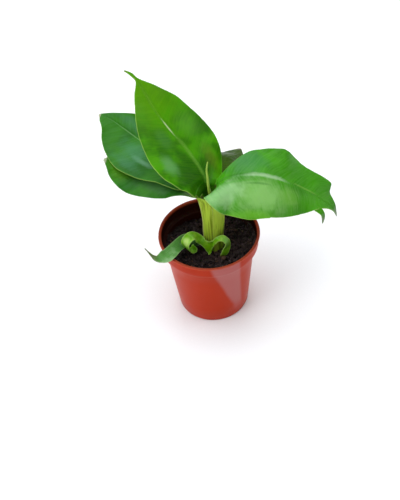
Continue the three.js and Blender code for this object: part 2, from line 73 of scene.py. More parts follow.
def deselectAll():
    if bpy.context.object and bpy.context.object.mode != "OBJECT":
        bpy.ops.object.mode_set(mode="OBJECT")
    bpy.ops.object.select_all(action="DESELECT")


def applyModifiers(piece):
    deselectAll()
    bpy.context.view_layer.objects.active = piece
    piece.select_set(True)
    for modifier in list(piece.modifiers):
        bpy.ops.object.modifier_apply(modifier=modifier.name)


def setPoints(piece, points):
    piece.data.vertices.foreach_set("co", np.asarray(points, np.float32).ravel())
    piece.data.update()


def getPoints(piece):
    values = np.zeros(len(piece.data.vertices) * 3, np.float32)
    piece.data.vertices.foreach_get("co", values)
    return values.reshape(-1, 3).astype(float)


def addAttribute(piece, name, values):
    layer = piece.data.attributes.new(name, "FLOAT", "POINT")
    layer.data.foreach_set("value", np.asarray(values, np.float32).ravel())


def finishPiece(piece, name, node, slot, *materials):
    piece.name = name
    piece.data.name = name
    for look in materials:
        piece.data.materials.append(look)
    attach(piece, "root")
    if node:
        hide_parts(node)


def smoothShade(piece, angle=60):
    deselectAll()
    bpy.context.view_layer.objects.active = piece
    piece.select_set(True)
    bpy.ops.object.shade_smooth_by_angle(angle=math.radians(angle))


# values along the stations, smoothed as one curve through all of them
def smoothRows(rows, count):
    table = np.array(rows, float)
    last = len(table) - 1
    place = np.linspace(0, last, count)
    i = np.minimum(place.astype(int), last - 1)
    w = (place - i)[:, None]
    padded = np.vstack([2 * table[0] - table[1], table, 2 * table[-1] - table[-2]])
    p0, p1, p2, p3 = padded[i], padded[i + 1], padded[i + 2], padded[i + 3]
    t0 = 0.5 * (p2 - p0)
    t1 = 0.5 * (p3 - p1)
    return p1 + t0 * w + (3 * (p2 - p1) - 2 * t0 - t1) * w ** 2 + (2 * (p1 - p2) + t0 + t1) * w ** 3


def unit(vectors):
    return vectors / np.maximum(np.linalg.norm(vectors, axis=-1, keepdims=True), 1e-9)


# a blade's surface: midrib point, way the upper face looks, then for the left and right half
# the width, lift and curl in degrees, and the sweep along the midrib
def bladeSurface(stations, rowCount, shares):
    rows = smoothRows([[v for part in s for v in part] for s in stations], rowCount)
    at = rows[:, :3]
    along = unit(np.gradient(at, axis=0))
    face = rows[:, 3:6] - (rows[:, 3:6] * along).sum(1)[:, None] * along
    face = unit(face)
    side = np.cross(along, face)
    reach = np.abs(shares)[None, :]
    pick = np.where(shares[None, :] < 0, 0, 1)
    halves = np.stack([rows[:, 6:10], rows[:, 10:14]], 1)
    values = halves[np.arange(rowCount)[:, None], pick]
    width = values[..., 0]
    lift = np.radians(values[..., 1])
    curl = np.radians(values[..., 2])
    curl = np.where(np.abs(curl) < 0.001, 0.001, curl)
    out = width / curl * (np.sin(lift + curl * reach) - np.sin(lift))
    up = width / curl * (np.cos(lift) - np.cos(lift + curl * reach))
    points = (at[:, None] + side[:, None] * (np.sign(shares)[None, :] * out)[..., None]
              + face[:, None] * up[..., None] + along[:, None] * (values[..., 3] * reach ** 2)[..., None])
    step = np.linalg.norm(np.diff(at, axis=0), axis=1)
    length = np.concatenate([[0], np.cumsum(step)])
    return points, np.abs(width), length


def surfaceNormals(points):
    along = np.gradient(points, axis=0)
    across = np.gradient(points, axis=1)
    return unit(np.cross(across, along))


def hillNoise(x, y, seed):
    hills = [noise.noise(Vector((a, b, seed))) for a, b in zip(x.ravel(), y.ravel())]
    return np.array(hills).reshape(x.shape)


# stations with both halves: one that is given once counts for both sides, and a lone number is a
# flat half of that width
def bothHalves(stations):
    full = []
    for place, face, *halves in stations:
        halves = [half if isinstance(half, tuple) else (half, 0, 0, 0) for half in halves]
        full.append([place, face, halves[0], halves[-1]])
    return full


# a flat grid to be bent into shape, with the row and column of each of its points
def indexedGrid(columnCount, rowCount):
    deselectAll()
    bpy.ops.mesh.primitive_grid_add(x_subdivisions=columnCount - 1, y_subdivisions=rowCount - 1, size=1)
    sheet = bpy.context.object
    flat = getPoints(sheet)
    column = np.rint((flat[:, 0] + 0.5) * (columnCount - 1)).astype(int)
    row = np.rint((flat[:, 1] + 0.5) * (rowCount - 1)).astype(int)
    return sheet, row, column


# carries the selected loop of edges on, through rings of radius and height
def extrudeRings(rings):
    for last, ring in zip(rings, rings[1:]):
        rise = (ring[1] - last[1]) * mm
        growth = ring[0] / last[0]
        bpy.ops.mesh.extrude_edges_move(TRANSFORM_OT_translate={"value": (0, 0, rise)})
        bpy.ops.transform.resize(value=(growth, growth, 1), center_override=(0, 0, ring[1] * mm))


# a leaf: a grid laid on its stations, creased along its side veins, with a channel for the midrib;
# the wall grows downwards and swells into a keel below the midrib
def makeLeaf(look):
    rowCount = look["rows"]
    columnCount = 2 * look["halfColumns"] + 1
    leaf, row, column = indexedGrid(columnCount, rowCount)
    even = np.linspace(-1, 1, columnCount)
    shares = np.sign(even) * np.abs(even) ** look["spread"]
    points, width, length = bladeSurface(bothHalves(look["stations"]), rowCount, shares)
    across = width * shares[None, :]
    along = np.repeat(length[:, None], columnCount, 1)
    bladeShare = np.clip((along - look["sheathEnd"]) / 12, 0, 1)
    bladeShare = bladeShare * bladeShare * (3 - 2 * bladeShare)
    tipShare = np.clip((length[-1] - along) / 14, 0, 1)
    reach = np.abs(shares)[None, :] * np.ones_like(along)
    veinRun = along - look["veinSlope"] * np.abs(across)
    veinRun = veinRun + 1.6 * hillNoise(along / 11, across / 7, look["seed"])
    pleat = np.sin(2 * math.pi * veinRun / look["pleatSpacing"])
    rise = look["pleatHeight"] * pleat * np.minimum(1, np.abs(across) / 3) * bladeShare * tipShare
    rise += look["swell"] * hillNoise(along / 17 + 3, across / 12, look["seed"] + 5) * bladeShare * reach
    rise += look["edgeWave"] * np.sin(2 * math.pi * along / look["waveSpacing"] + look["seed"]
                                      + (shares < 0)[None, :] * 2.1) * reach ** 6 * bladeShare * tipShare
    channel = look["channel"] * np.clip(tipShare, 0.2, 1) * bladeShare
    rise -= channel * np.exp(-(across / look["ribWidth"]) ** 2)
    rise += 0.5 * channel * np.exp(-((np.abs(across) - 1.7 * look["ribWidth"]) / look["ribWidth"]) ** 2)
    points = points + surfaceNormals(points) * (rise + look["lift"])[..., None]
    setPoints(leaf, points[row, column] * mm)
    keel = np.exp(-(across / (1.5 * look["ribWidth"])) ** 2) * bladeShare * (1 - (along / length[-1]) ** 2)
    group = leaf.vertex_groups.new(name="keel")
    for index, weight in enumerate(keel[row, column]):
        if weight > 0.002:
            group.add([index], float(weight), "REPLACE")
    measures = {"acrossBlade": across, "alongBlade": along, "toTip": length[-1] - along,
                "toEdge": width * (1 - reach), "veinRun": veinRun, "bladeShare": bladeShare}
    for key, values in measures.items():
        addAttribute(leaf, key, values[row, column])
    keelThickness = look["thickness"] + look["keel"]
    wall = leaf.modifiers.new("wall", "SOLIDIFY")
    wall.thickness = keelThickness * mm
    wall.offset = -1
    wall.vertex_group = "keel"
    wall.thickness_vertex_group = look["thickness"] / keelThickness
    wall.material_offset = 1
    applyModifiers(leaf)
    leaf.vertex_groups.clear()
    smoothShade(leaf, 80)
    return leaf


print("light, floor and camera")

view = {
    "elevation": 47.4,      # degrees above the level
    "roll": -5.4,
    "distance": 600,
    "target": (-6.2, 0, 42.2),
    "lens": 71.7,
}
elevation = math.radians(view["elevation"])
roll = math.radians(view["roll"])
ahead = Vector((0, math.cos(elevation), -math.sin(elevation)))
level = Vector((1, 0, 0))
over = level.cross(ahead)
right = math.cos(roll) * level + math.sin(roll) * over
upward = -math.sin(roll) * level + math.cos(roll) * over
place = (Vector(view["target"]) - ahead * view["distance"]) * mm
bpy.ops.object.camera_add()
camera = bpy.context.object
camera.data.lens = view["lens"]
camera.data.sensor_width = 36
camera.data.clip_start = 0.05
turn = Matrix((right, upward, -ahead)).transposed().to_4x4()
camera.matrix_world = Matrix.Translation(place) @ turn
bpy.context.scene.camera = camera
bpy.context.scene.view_settings.view_transform = "Standard"

lights = {
    "top": {"at": (-0.1, 0.1, 0.8), "size": 0.9, "power": 5.4, "colour": "F8FBFF"},
    "left": {"at": (-0.6, -0.35, 0.45), "size": 0.4, "power": 1.9, "colour": "FFFFFF"},
    "right": {"at": (0.7, -0.05, 0.3), "size": 0.3, "power": 0.8, "colour": "FFF8F2"},
    "back": {"at": (0.1, 0.7, 0.5), "size": 0.5, "power": 1.2, "colour": "FFFFFF"},
}
for lightName, lamp in lights.items():
    deselectAll()
    bpy.ops.object.light_add(type="AREA", location=lamp["at"])
    light = bpy.context.object
    light.name = lightName + "Light"
    light.data.size = lamp["size"]
    light.data.energy = lamp["power"]
    light.data.color = toLinear(lamp["colour"])[:3]
    light.rotation_euler = (Vector((0, 0, 0.06)) - light.location).to_track_quat("-Z", "Y").to_euler()

# studio round the table: pale overhead, dim towards the level
studio = {"overhead": 0.95, "level": 0.28, "colour": "F2F7FF"}
world = bpy.data.worlds.new("studio")
bpy.context.scene.world = world
world.use_nodes = True
tree = world.node_tree
tree.nodes.clear()
height = put(tree, "SeparateXYZ", {"Vector": put(tree, "TexCoord", {})}, 2)
glow = put(tree, "MapRange", {"Value": height, "From Min": 0.55, "From Max": 0.95, "To Min": studio["level"],
                              "To Max": studio["overhead"]}, **smooth)
put(tree, "OutputWorld", {"Surface": put(tree, "Background", {"Color": studio["colour"], "Strength": glow})})

deselectAll()
bpy.ops.mesh.primitive_plane_add(size=6, location=(0, 0, 0))
floor = bpy.context.object
floor.name = "paleFloor"
# matt white card, no sheen of its own
floorCard, tree = newMaterial("matt white card")
grain = put(tree, "TexNoise", {"Scale": 900.0, "Detail": 3.0, "Vector": put(tree, "TexCoord", {}, 3)})
cardColour = put(tree, "Mix", {0: grain, 6: "FAFAF9", 7: "F4F4F3"}, **colourMix)
cardSkin = put(tree, "BsdfPrincipled", {"Base Color": cardColour, "Roughness": 0.85})
put(tree, "OutputMaterial", {"Surface": cardSkin})
floor.data.materials.append(floorCard)


# lays soft oval areas on a colour, each [along, across, half length, half width in mm, share, colour];
# edge says how far out they begin and are full, fray roughens them
def layAreas(tree, colour, along, across, areas, edge, fray=None):
    for alongAt, acrossAt, halfLength, halfWidth, share, areaColour in areas:
        spot = {}
        for axis, run, at, half in (("X", along, alongAt, halfLength), ("Y", across, acrossAt, halfWidth)):
            spot[axis] = put(tree, "Math", {0: run, 1: 1 / half, 2: -at / half}, operation="MULTIPLY_ADD")
        far = put(tree, "VectorMath", {0: put(tree, "CombineXYZ", spot)}, 1, operation="LENGTH")
        if fray is not None:
            far = put(tree, "Math", {0: fray, 1: 0.9, 2: far}, operation="MULTIPLY_ADD")
        soft = put(tree, "MapRange", {"Value": far, "From Min": edge[0], "From Max": edge[1],
                                      "To Max": share}, **smooth)
        colour = put(tree, "Mix", {0: soft, 6: colour, 7: areaColour}, **colourMix)
    return colour


# light passes a little way into leaf tissue, green furthest
leafTissue = {
    "IOR": 1.42, "Subsurface Weight": 0.1, "Subsurface Radius": (0.35, 1.0, 0.1),
    "Subsurface Scale": 0.0008,
}


# living banana leaf: smooth waxy skin over green tissue, with a soft gloss. Side veins run out to
# a thin pale margin; soft areas are older or thinner tissue, and painted sheen, painted highlight on folds and
# painted shade in hollows
def leafSkin(name, tones):
    made, tree = newMaterial(name)
    across, along, veinRun, toEdge, toTip, blade = [
        put(tree, "Attribute", {}, 2, attribute_name=key)
        for key in ("acrossBlade", "alongBlade", "veinRun", "toEdge", "toTip", "bladeShare")]
    where = put(tree, "TexCoord", {}, 3)
    # clouds of deeper and lighter green, some 12 mm across
    cloud = put(tree, "TexNoise", {"Vector": where, "Scale": 85.0, "Detail": 3.0})
    cloud = put(tree, "MapRange", {"Value": cloud, "From Min": 0.35, "From Max": 0.65}, **smooth)
    colour = put(tree, "Mix", {0: cloud, 6: tones["deep"], 7: tones["main"]}, **colourMix)
    # side veins, about 1.1 mm apart as fine lines
    width = put(tree, "Math", {0: across}, operation="ABSOLUTE")
    run = put(tree, "CombineXYZ", {"X": veinRun, "Y": put(tree, "Math", {0: width, 1: 0.08},
                                                          operation="MULTIPLY")})
    lines = put(tree, "TexNoise", {"Vector": run, "Scale": 0.9, "Detail": 4.0, "Roughness": 0.7})
    # the edges of the soft areas fray along the veins
    fray = put(tree, "TexNoise", {"Vector": where, "Scale": 170.0, "Detail": 4.0, "Roughness": 0.6})
    fray = put(tree, "Math", {0: lines, 1: 0.4, 2: fray}, operation="MULTIPLY_ADD")
    colour = layAreas(tree, colour, along, across, tones["areas"], (1.7, 0.8), fray)
    fine = put(tree, "MapRange", {"Value": lines, "From Min": 0.62, "From Max": 0.4,
                                  "To Max": tones["veins"]}, **smooth)
    # thin pale margin, not the same on both sides
    margin = put(tree, "MapRange", {"Value": toEdge, "From Min": 0.5, "From Max": 0.05}, **smooth)
    side = put(tree, "MapRange", {"Value": across, "From Min": -1.0, "From Max": 1.0,
                                  "To Min": tones["margins"][0], "To Max": tones["margins"][1]})
    margin = put(tree, "Math", {0: margin, 1: side}, operation="MULTIPLY")
    # dry tip
    dryNoise = put(tree, "TexNoise", {"Vector": where, "Scale": 400.0, "Detail": 4.0})
    dryReach = put(tree, "Math", {0: dryNoise, 1: -tones["dryLength"], 2: toTip}, operation="MULTIPLY_ADD")
    dry = put(tree, "MapRange", {"Value": dryReach, "From Min": tones["dryLength"], "From Max": 0.0,
                                 "To Max": 0.85}, **smooth)
    for share, tint in ((fine, "light"), (margin, "margin"), (dry, "dry")):
        colour = put(tree, "Mix", {0: share, 6: colour, 7: tones[tint]}, **colourMix)
    # sheath: yellow-green with long olive streaks and a cream back edge
    streakAt = put(tree, "Mapping", {"Vector": where, "Scale": (900.0, 900.0, 30.0)})
    streak = put(tree, "TexNoise", {"Vector": streakAt, "Scale": 1.0, "Detail": 3.0})
    streak = put(tree, "MapRange", {"Value": streak, "From Min": 0.42, "From Max": 0.68}, **smooth)
    backEdge = put(tree, "MapRange", {"Value": width, "From Min": 2.6, "From Max": 0.6,
                                      "To Max": tones["backEdgeShare"]}, **smooth)
    seam = put(tree, "MapRange", {"Value": toEdge, "From Min": 1.0, "From Max": 0.2, "To Max": 0.06},
               **smooth)
    stem = tones["sheath"]
    for share, tint in ((streak, "streak"), (backEdge, "backEdge"), (seam, "seam")):
        stem = put(tree, "Mix", {0: share, 6: stem, 7: tones[tint]}, **colourMix)
    colour = put(tree, "Mix", {0: blade, 6: stem, 7: colour}, **colourMix)
    gloss = put(tree, "TexNoise", {"Vector": where, "Scale": 260.0, "Detail": 4.0})
    gloss = put(tree, "MapRange", {"Value": gloss, "To Min": tones["gloss"], "To Max": tones["gloss"] + 0.14})
    # veins and skin cells in relief
    cells = put(tree, "TexNoise", {"Vector": where, "Scale": 1800.0, "Detail": 2.0})
    height = put(tree, "Math", {0: cells, 1: 0.15, 2: lines}, operation="MULTIPLY_ADD")
    height = put(tree, "Math", {0: height, 1: 0.00016}, operation="MULTIPLY")
    bump = put(tree, "Bump", {"Strength": 0.8, "Distance": 1.0, "Height": height})
    put(tree, "OutputMaterial", {"Surface": put(tree, "BsdfPrincipled", {
        **leafTissue, "Base Color": colour, "Roughness": gloss, "Normal": bump,
        "Specular IOR Level": tones["shine"]})})
    return made


brightLeaf = {
    "deep": "266600", "main": "459200", "light": "6FA81E", "margin": "A2C45A", "margins": (0.5, 0.1),
    "veins": 0.12, "dry": "6E8A22", "dryLength": 2.0, "sheath": "AECA3C", "streak": "74881C",
    "backEdge": "D2BE92", "backEdgeShare": 0.75, "seam": "D8D890", "gloss": 0.3, "shine": 0.17,
    "areas": [
        [82, 0, 26, 20, 0.85, "5A9E00"],  # bright young tip
        [24, -5, 17, 15, 0.9, "1A5400"],  # painted shade, deep green, in the hollow at the base
        [44, -5.5, 15, 4.5, 0.85, "205C00"],  # shaded fold beside the midrib
        [33, 9.7, 9, 5, 0.5, "5A6214"],  # painted shade, olive, on the right wing
        [41, -15.5, 10, 5.5, 0.9, "5A9450"],  # painted sheen standing in for the overhead light's reflection, three patches
        [56, -7, 9, 5, 0.45, "4A8A38"],
        [54, 9, 11, 8, 0.35, "5E9A38"],
        [38, 0, 22, 1.7, 0.6, "6FA838"],  # midrib painted lighter as painted highlight: soft below, pale wedge on the fold, faint line above
        [59, -0.3, 8, 0.55, 0.95, "C6D8A0"],
        [76, 0, 12, 0.4, 0.4, "7DB030"],
    ],
}
darkLeaf = dict(brightLeaf, deep="1E5E04", main="2E7400", light="4E9050", margins=(0.5, 0.1), dry="B4B496",
                dryLength=1.2, areas=[
    [80, -8, 13, 14, 0.85, "2A6C00"],
    # painted sheen: bluish grey patches and a whitish streak stand in for the overhead light's reflection
    [60, -17, 12, 4, 0.6, "3E7A4E"],
    [53, -11, 9, 2.2, 0.5, "7CAC8A"],
    [60, -8, 12, 9, 0.6, "4A8A5A"],
    [70, 6, 14, 5, 0.5, "4A8054"],
    [60, 0, 30, 0.5, 0.5, "7FAE6A"],
])
lowLeaf = dict(darkLeaf, deep="22660A", main="367E10", margins=(0.1, 0.35), dryLength=1.5, areas=[
    [101, -1, 11, 10, 0.85, "508A04"],
    # painted sheen, greyish, on the lower half
    [79, -5, 16, 4.5, 0.65, "56864C"],
    # painted shade, deep green, below the upper left leaf's edge
    [62, -3, 8, 8, 0.5, "1E5C06"],
])
# the back leaf's dark olive is painted shade: the whole leaf coloured as if in the tall leaf's shadow
shadedBackLeaf = dict(brightLeaf, deep="223E00", main="2E4C02", light="4F6A14", dry="6A4A1E", veins=0.3,
                 margins=(0.0, 0.0), dryLength=3.0, shine=0.05, areas=[])
rightLeaf = dict(brightLeaf, deep="2E7800", main="3C8C00", light="7EB860", dry="7E8C70", dryLength=5.0,
                 margins=(0.15, 0.6), areas=[
    [84, -9, 14, 13, 0.55, "387844"],  # painted sheen, bluish, on the back wing near the stem
    [115, -13, 22, 14, 0.7, "348200"],
    [92, 12, 26, 13, 0.8, "88BC66"],  # painted sheen on the front wing, milky, for the overhead light's reflection
    [72, 9, 12, 9, 0.7, "9AC888"],
    [110, 8, 9, 7, 0.5, "6AA436"],
    [88, 23, 28, 4.5, 0.6, "6CB428"],
    [94, 0, 18, 1.6, 0.65, "A8C89A"],  # painted highlight along the midrib fold, pale
    [118, -1, 12, 0.8, 0.4, "7CB03E"],
    [80, 3.2, 12, 0.9, 0.5, "3E9008"],
    [90, 5.0, 9, 0.9, 0.5, "2A6E14"],
])
underLeaf = dict(brightLeaf, deep="4A7C2C", main="5A8E38", light="80AA5E", gloss=0.5, veins=0.3, areas=[])

brightSkin = leafSkin("banana leaf bright upper skin", brightLeaf)
darkSkin = leafSkin("banana leaf dark upper skin", darkLeaf)
lowSkin = leafSkin("banana leaf deep green upper skin", lowLeaf)
shadedBackSkin = leafSkin("banana leaf upper skin, painted shade", shadedBackLeaf)
rightSkin = leafSkin("banana leaf waxy upper skin", rightLeaf)
underSkin = leafSkin("banana leaf underside", underLeaf)

leafBasics = {
    "rows": 150, "halfColumns": 24, "veinSlope": 0.7, "pleatSpacing": 6.0, "pleatHeight": 0.06,
    "swell": 0.5, "edgeWave": 0.25, "waveSpacing": 17, "channel": 0.28, "ribWidth": 0.7, "lift": 0.12,
    "thickness": 0.34, "keel": 0.9, "seed": 1.0, "sheathEnd": 8, "spread": 1.15,
}

print("tall middle leaf")
leafTall = dict(leafBasics, seed=2.3, sheathEnd=-12, stations=[
    [(3, 3.9, 72.5), (0, -1, 0), (5.4, 0, 80, 0)],
    [(2.9, 4, 80), (0, -1, 0), (5.5, 0, 80, 0)],
    [(2, 4.1, 86), (0, -1, 0.15), (5.4, 14, 60, 3.4), (5.4, 0, 75, 0)],
    [(0.5, 4, 91.5), (0.1, -1, 0.4), (9.22, 38.46, 20, -1.33), (6, 14, 60, -0.3)],
    [(0.09, 5.24, 94.25), (0.12, -1, 0.5), (11.12, 33.73, 18, -6.23), (9.4, 9.4, 60.7, -0.4)],
    [(-0.5, 7, 97), (0.15, -1, 0.6), (19.19, 25.82, 22, -1.03), (13.3, 4, 62, -0.4)],
    [(-3.5, 11, 102.5), (0.25, -1, 0.75), (24, 20, 20, 3), (18.5, 12, 52, 0)],
    [(-9.5, 17, 111), (0.3, -1, 0.8), (24.5, 14, 18, 1.6), (19, 10, 38, 0)],
    [(-17.5, 23, 121), (0.3, -1, 0.85), (21, 10, 16, 0), (17, 10, 28, 0)],
    [(-24, 28, 131), (0.3, -1, 0.85), (15, 10, 15, 0), (14, 8, 20, 0)],
    [(-28.5, 31, 141), (0.3, -1, 0.85), (7.5, 8, 10, 0), (7, 8, 10, 0)],
    [(-31.5, 32.5, 148), (0.3, -1, 0.85), 1.3],
    [(-34.5, 33, 152), (0.3, -1, 0.85), 0.9],
    [(-38, 33.5, 154.5), (0.3, -1, 0.85), 0.4],
])
finishPiece(makeLeaf(leafTall), "tallLeaf", "leaf_tall", "leaf_green", brightSkin, underSkin)

print("upper left leaf")
leafLeftUpper = dict(leafBasics, seed=4.1, stations=[
    [(-1.1, 2.9, 72.5), (0.82, -0.57, 0), (3.8, 0, 44, 0)],
    [(-1.2, 3, 80), (0.82, -0.57, 0), (3.9, 0, 44, 0)],
    [(-2.8, 4.5, 86), (0.8, -0.5, 0.3), (3.2, 0, 25, 0), (4.6, 0, 35, 0)],
    [(-5.5, 8.3, 89.6), (0.3, -0.3, 0.9), (6, 3, 10, -1), (6.5, 3, 10, -1)],
    [(-9.5, 13, 92.5), (0.15, -0.2, 1), (13, 5, 0, -3), (10, 5, 0, -2)],
    [(-17.5, 21.5, 95), (0.1, -0.15, 1), (18, 6, -8, -1), (16, 5, 0, 0)],
    [(-27, 29, 99), (0.05, -0.2, 1), (22, 4, -10, 0), (17.5, 5, 0, 0)],
    [(-35.5, 35.5, 103), (0, -0.2, 1), (23, 2, -10, 0), (16, 5, 0, 0)],
    [(-43.5, 41, 107.5), (-0.1, -0.25, 1), (18.5, 2, -10, 0), (11.5, 5, 0, 0)],
    [(-50.5, 45.5, 111.5), (-0.1, -0.3, 1), (11, 2, -5, 0), (5, 5, 0, 0)],
    [(-55.5, 47.5, 113.5), (-0.1, -0.3, 1), 4, 1.6],
    [(-57.5, 48, 114), (-0.1, -0.3, 1), 0.5],
])
finishPiece(makeLeaf(leafLeftUpper), "upperLeftLeaf", "leaf_left_upper", "leaf_dark_green",
            darkSkin, underSkin)

print("lower left leaf")
leafLeftLower = dict(leafBasics, seed=6.7, sheathEnd=50, thickness=0.42, stations=[
    [(-3.3, 0, 34), (1, 0, 0), (8.2, 0, 89, 0)],
    [(-3.2, 0, 56), (1, 0, 0), (8.4, 0, 89, 0)],
    [(-2.9, 0, 68), (1, 0, 0), (9, 0, 88, 0)],
    [(-3.8, 0.2, 79), (1, 0, 0.1), (10.4, 6, 80, -0.1), (9.2, 0, 80, 0)],
    [(-5.6, 0.8, 86), (1, 0, 0.5), (9.7, 12, 60, -2.9), (8, 0, 55, 0)],
    [(-10, 3.2, 88.6), (0.5, -0.1, 1), (5.3, 11, 25, -5), (6, -5, 0, -1)],
    [(-19, 10.5, 89), (0.1, -0.1, 1), (9.5, -8, -15, -1), 10],
    [(-30, 15, 90.5), (0, -0.1, 1), (12.3, -8, -18, 0), (14, 5, 0, 0)],
    [(-40.5, 19, 93), (-0.1, -0.1, 1), (13, -8, -18, 0), (13, 5, 0, 0)],
    [(-49.5, 22, 97), (-0.1, -0.1, 1), (9, -8, -10, 0), (8, 5, 0, 0)],
    [(-54.5, 23.5, 99.5), (-0.1, -0.1, 1), 3.2, 3],
    [(-56.5, 24, 100.5), (-0.1, -0.1, 1), 0.5],
])
finishPiece(makeLeaf(leafLeftLower), "lowerLeftLeaf", "leaf_left_lower", "leaf_dark_green",
            lowSkin, underSkin)

print("right leaf with its torn flap")
leafRight = dict(leafBasics, seed=8.9, sheathEnd=52, thickness=0.42, stations=[
    [(8.15, 0, 34), (-1, 0, 0), (9.8, 0, 91, 0)],
    [(8.3, 0, 54), (-1, 0, 0), (10, 0, 91, 0)],
    [(9.6, 0, 68), (-1, 0, 0), (10.9, 0, 91, 0)],
    [(9.6, -0.3, 79), (-1, 0, 0), (6.4, 0, 54, 0), (10.9, 0, 88, 0)],
    [(8.2, -1.4, 89), (-1, 0, 0.15), (1.4, 0, 5, 0), (9.5, 0, 80, -1)],
    [(7, -2.5, 97), (-0.85, -0.1, 0.6), (2.6, 8, 10, 0), (10, 20, 55, -5)],
    [(13.2, -3.5, 103), (-0.35, -0.15, 1), (6, 5, 0, -1), (19.5, -12, -42, -9)],
    [(23, -4.5, 105), (0, -0.2, 1), (14.3, 13, -15, 0.8), (25, -14, -45, -3)],
    [(32, -5.5, 104.5), (0.2, -0.2, 1), (19, 5, -18, 0.1), (25.7, -13, -45, -0.3)],
    [(40.3, -6.4, 101.6), (0.35, -0.2, 1), (22.5, 8, -18, 1.8), (23.3, -10, -45, 0.5)],
    [(44.4, -6.8, 99.3), (0.38, -0.2, 1), (22.4, 9, -18, 0.3), (22, -9, -45, 0.7)],
    [(51, -7.5, 95), (0.45, -0.2, 1), (20.5, 3, -18, 1.6), (18.9, -9, -45, 0.3)],
    [(60.5, -8.5, 88), (0.6, -0.2, 1), (16, 7, -8, 0.5), (11.7, -10, -40, -0.4)],
    [(65.4, -9.2, 83.5), (0.8, -0.2, 0.9), (13.5, 15, 0, 3.3), (5.5, 3, -20, 0)],
    [(69.22, -9.2, 79.47), (1, -0.2, 0.5), (7.3, 12, 0, -0.4), (3.1, -2, 0, -0.9)],
    [(72.03, -9, 75.18), (1, -0.2, 0.2), (3, 23, 0, -0.9), (1.5, -4, 0, -0.8)],
    [(74.02, -8.6, 69.93), (1, -0.2, 0), 0.5],
])
tornFlap = dict(leafBasics, rows=24, halfColumns=5, sheathEnd=-20, keel=0.05, channel=0, swell=0,
                edgeWave=0.1, pleatHeight=0.05, lift=0, stations=[
    [(60.63, -14.9, 83.58), (0.3, -0.9, 0.3), 1.5],
    [(62.91, -15.7, 82.48), (0.3, -0.9, 0.3), 1.7],
    [(64.59, -16.6, 80.12), (0.3, -0.9, 0.3), 1.25],
    [(64.78, -17.6, 77.72), (0.3, -0.9, 0.3), 0.9],
    [(64.4, -17.8, 74.07), (0.3, -0.9, 0.3), 0.3],
])
rightBlade = makeLeaf(leafRight)
flap = makeLeaf(tornFlap)
deselectAll()
flap.select_set(True)
rightBlade.select_set(True)
bpy.context.view_layer.objects.active = rightBlade
bpy.ops.object.join()
finishPiece(rightBlade, "rightLeaf", "leaf_right", "leaf_green", rightSkin, underSkin)

print("back leaf")
leafBack = dict(leafBasics, seed=11.3, rows=90, halfColumns=16, stations=[
    [(7.2, 2.9, 72.5), (-0.82, -0.57, 0), (3.8, 0, 44, 0)],
    [(7.1, 3.2, 80), (-0.82, -0.57, 0), (3.9, 0, 44, 0), (3, 0, 34, 0)],
    [(6.6, 4.4, 86.5), (-0.7, -0.6, 0.15), (4.5, 0, 35, 0), (1.4, 0, 10, 0)],
    [(8.6, 10, 91.5), (-0.2, -0.4, 0.9), (5.5, 0, 10, 0), (5.5, 0, 5, 0)],
    [(10.5, 18.5, 93), (-0.1, 0, 1), (10, 0, 0, -1), (9, -10, 0, -1)],
    [(14, 27, 91.5), (-0.05, 0.1, 1), 14.5, (9, -15, -30, 0)],
    [(20.5, 36, 84.5), (-0.05, 0.3, 1), 13, (5, -20, -30, 0)],
    [(23, 43, 81), (-0.05, 0.4, 1), 6, (2, -20, -20, 0)],
    [(23.5, 47, 78.5), (0, 0.6, 1), 0.5],
])
finishPiece(makeLeaf(leafBack), "backLeaf", "leaf_back", "leaf_olive_green", shadedBackSkin, underSkin)

print("pot")
pot = {
    "sides": 128,
    # ring by ring, radius and height: floor edge, wall, step, band, lip, then back down inside
    "rings": [(20.4, 0), (21.1, 0.25), (21.5, 1.1), (22.7, 12), (24.1, 25), (25.5, 38), (26.5, 47.1),
              (26.9, 47.9), (28.5, 48.4), (28.95, 48.9), (29.1, 51), (29.2, 55.4), (29.55, 55.75),
              (29.9, 55.95), (30, 56.35), (29.85, 56.8), (29.4, 57), (28.75, 56.95), (28.3, 56.6),
              (28.2, 55.6), (28.15, 50.2), (27.8, 49.6), (26.2, 49.0), (25.8, 48.2), (24.7, 38),
              (23.3, 25), (21.9, 12), (20.8, 2.3), (20.2, 1.4), (19.4, 1.1)],
    "height": 57, "drainCount": 6, "drainRadius": 2.2, "drainCircle": 13, "drainDepth": 6,
    "wobble": 0.22,          # how far the thin wall is out of round
}
deselectAll()
bpy.ops.mesh.primitive_circle_add(vertices=pot["sides"], radius=pot["rings"][0][0] * mm, fill_type="NGON",
                                  location=(0, 0, 0))
potWall = bpy.context.object
bpy.ops.object.mode_set(mode="EDIT")
bpy.ops.mesh.select_mode(type="EDGE")
bpy.ops.mesh.select_all(action="SELECT")
bpy.ops.mesh.flip_normals()
bpy.ops.mesh.region_to_loop()
extrudeRings(pot["rings"])
bpy.ops.mesh.edge_face_add()
bpy.ops.mesh.select_all(action="SELECT")
bpy.ops.mesh.normals_make_consistent(inside=False)
bpy.ops.object.mode_set(mode="OBJECT")
drills = []
for k in range(pot["drainCount"]):
    angle = 2 * math.pi * (k + 0.5) / pot["drainCount"]
    spot = (pot["drainCircle"] * math.cos(angle) * mm, pot["drainCircle"] * math.sin(angle) * mm, 0)
    deselectAll()
    bpy.ops.mesh.primitive_cylinder_add(vertices=24, radius=pot["drainRadius"] * mm,
                                        depth=pot["drainDepth"] * mm, location=spot)
    drills.append(bpy.context.object)
for drill in drills:
    hole = potWall.modifiers.new("drain", "BOOLEAN")
    hole.operation = "DIFFERENCE"
    hole.solver = "EXACT"
    hole.object = drill
applyModifiers(potWall)
for drill in drills:
    bpy.data.objects.remove(drill)
points = getPoints(potWall)
angles = np.arctan2(points[:, 1], points[:, 0])
heightShare = np.clip(points[:, 2] / (pot["height"] * mm), 0, 1)
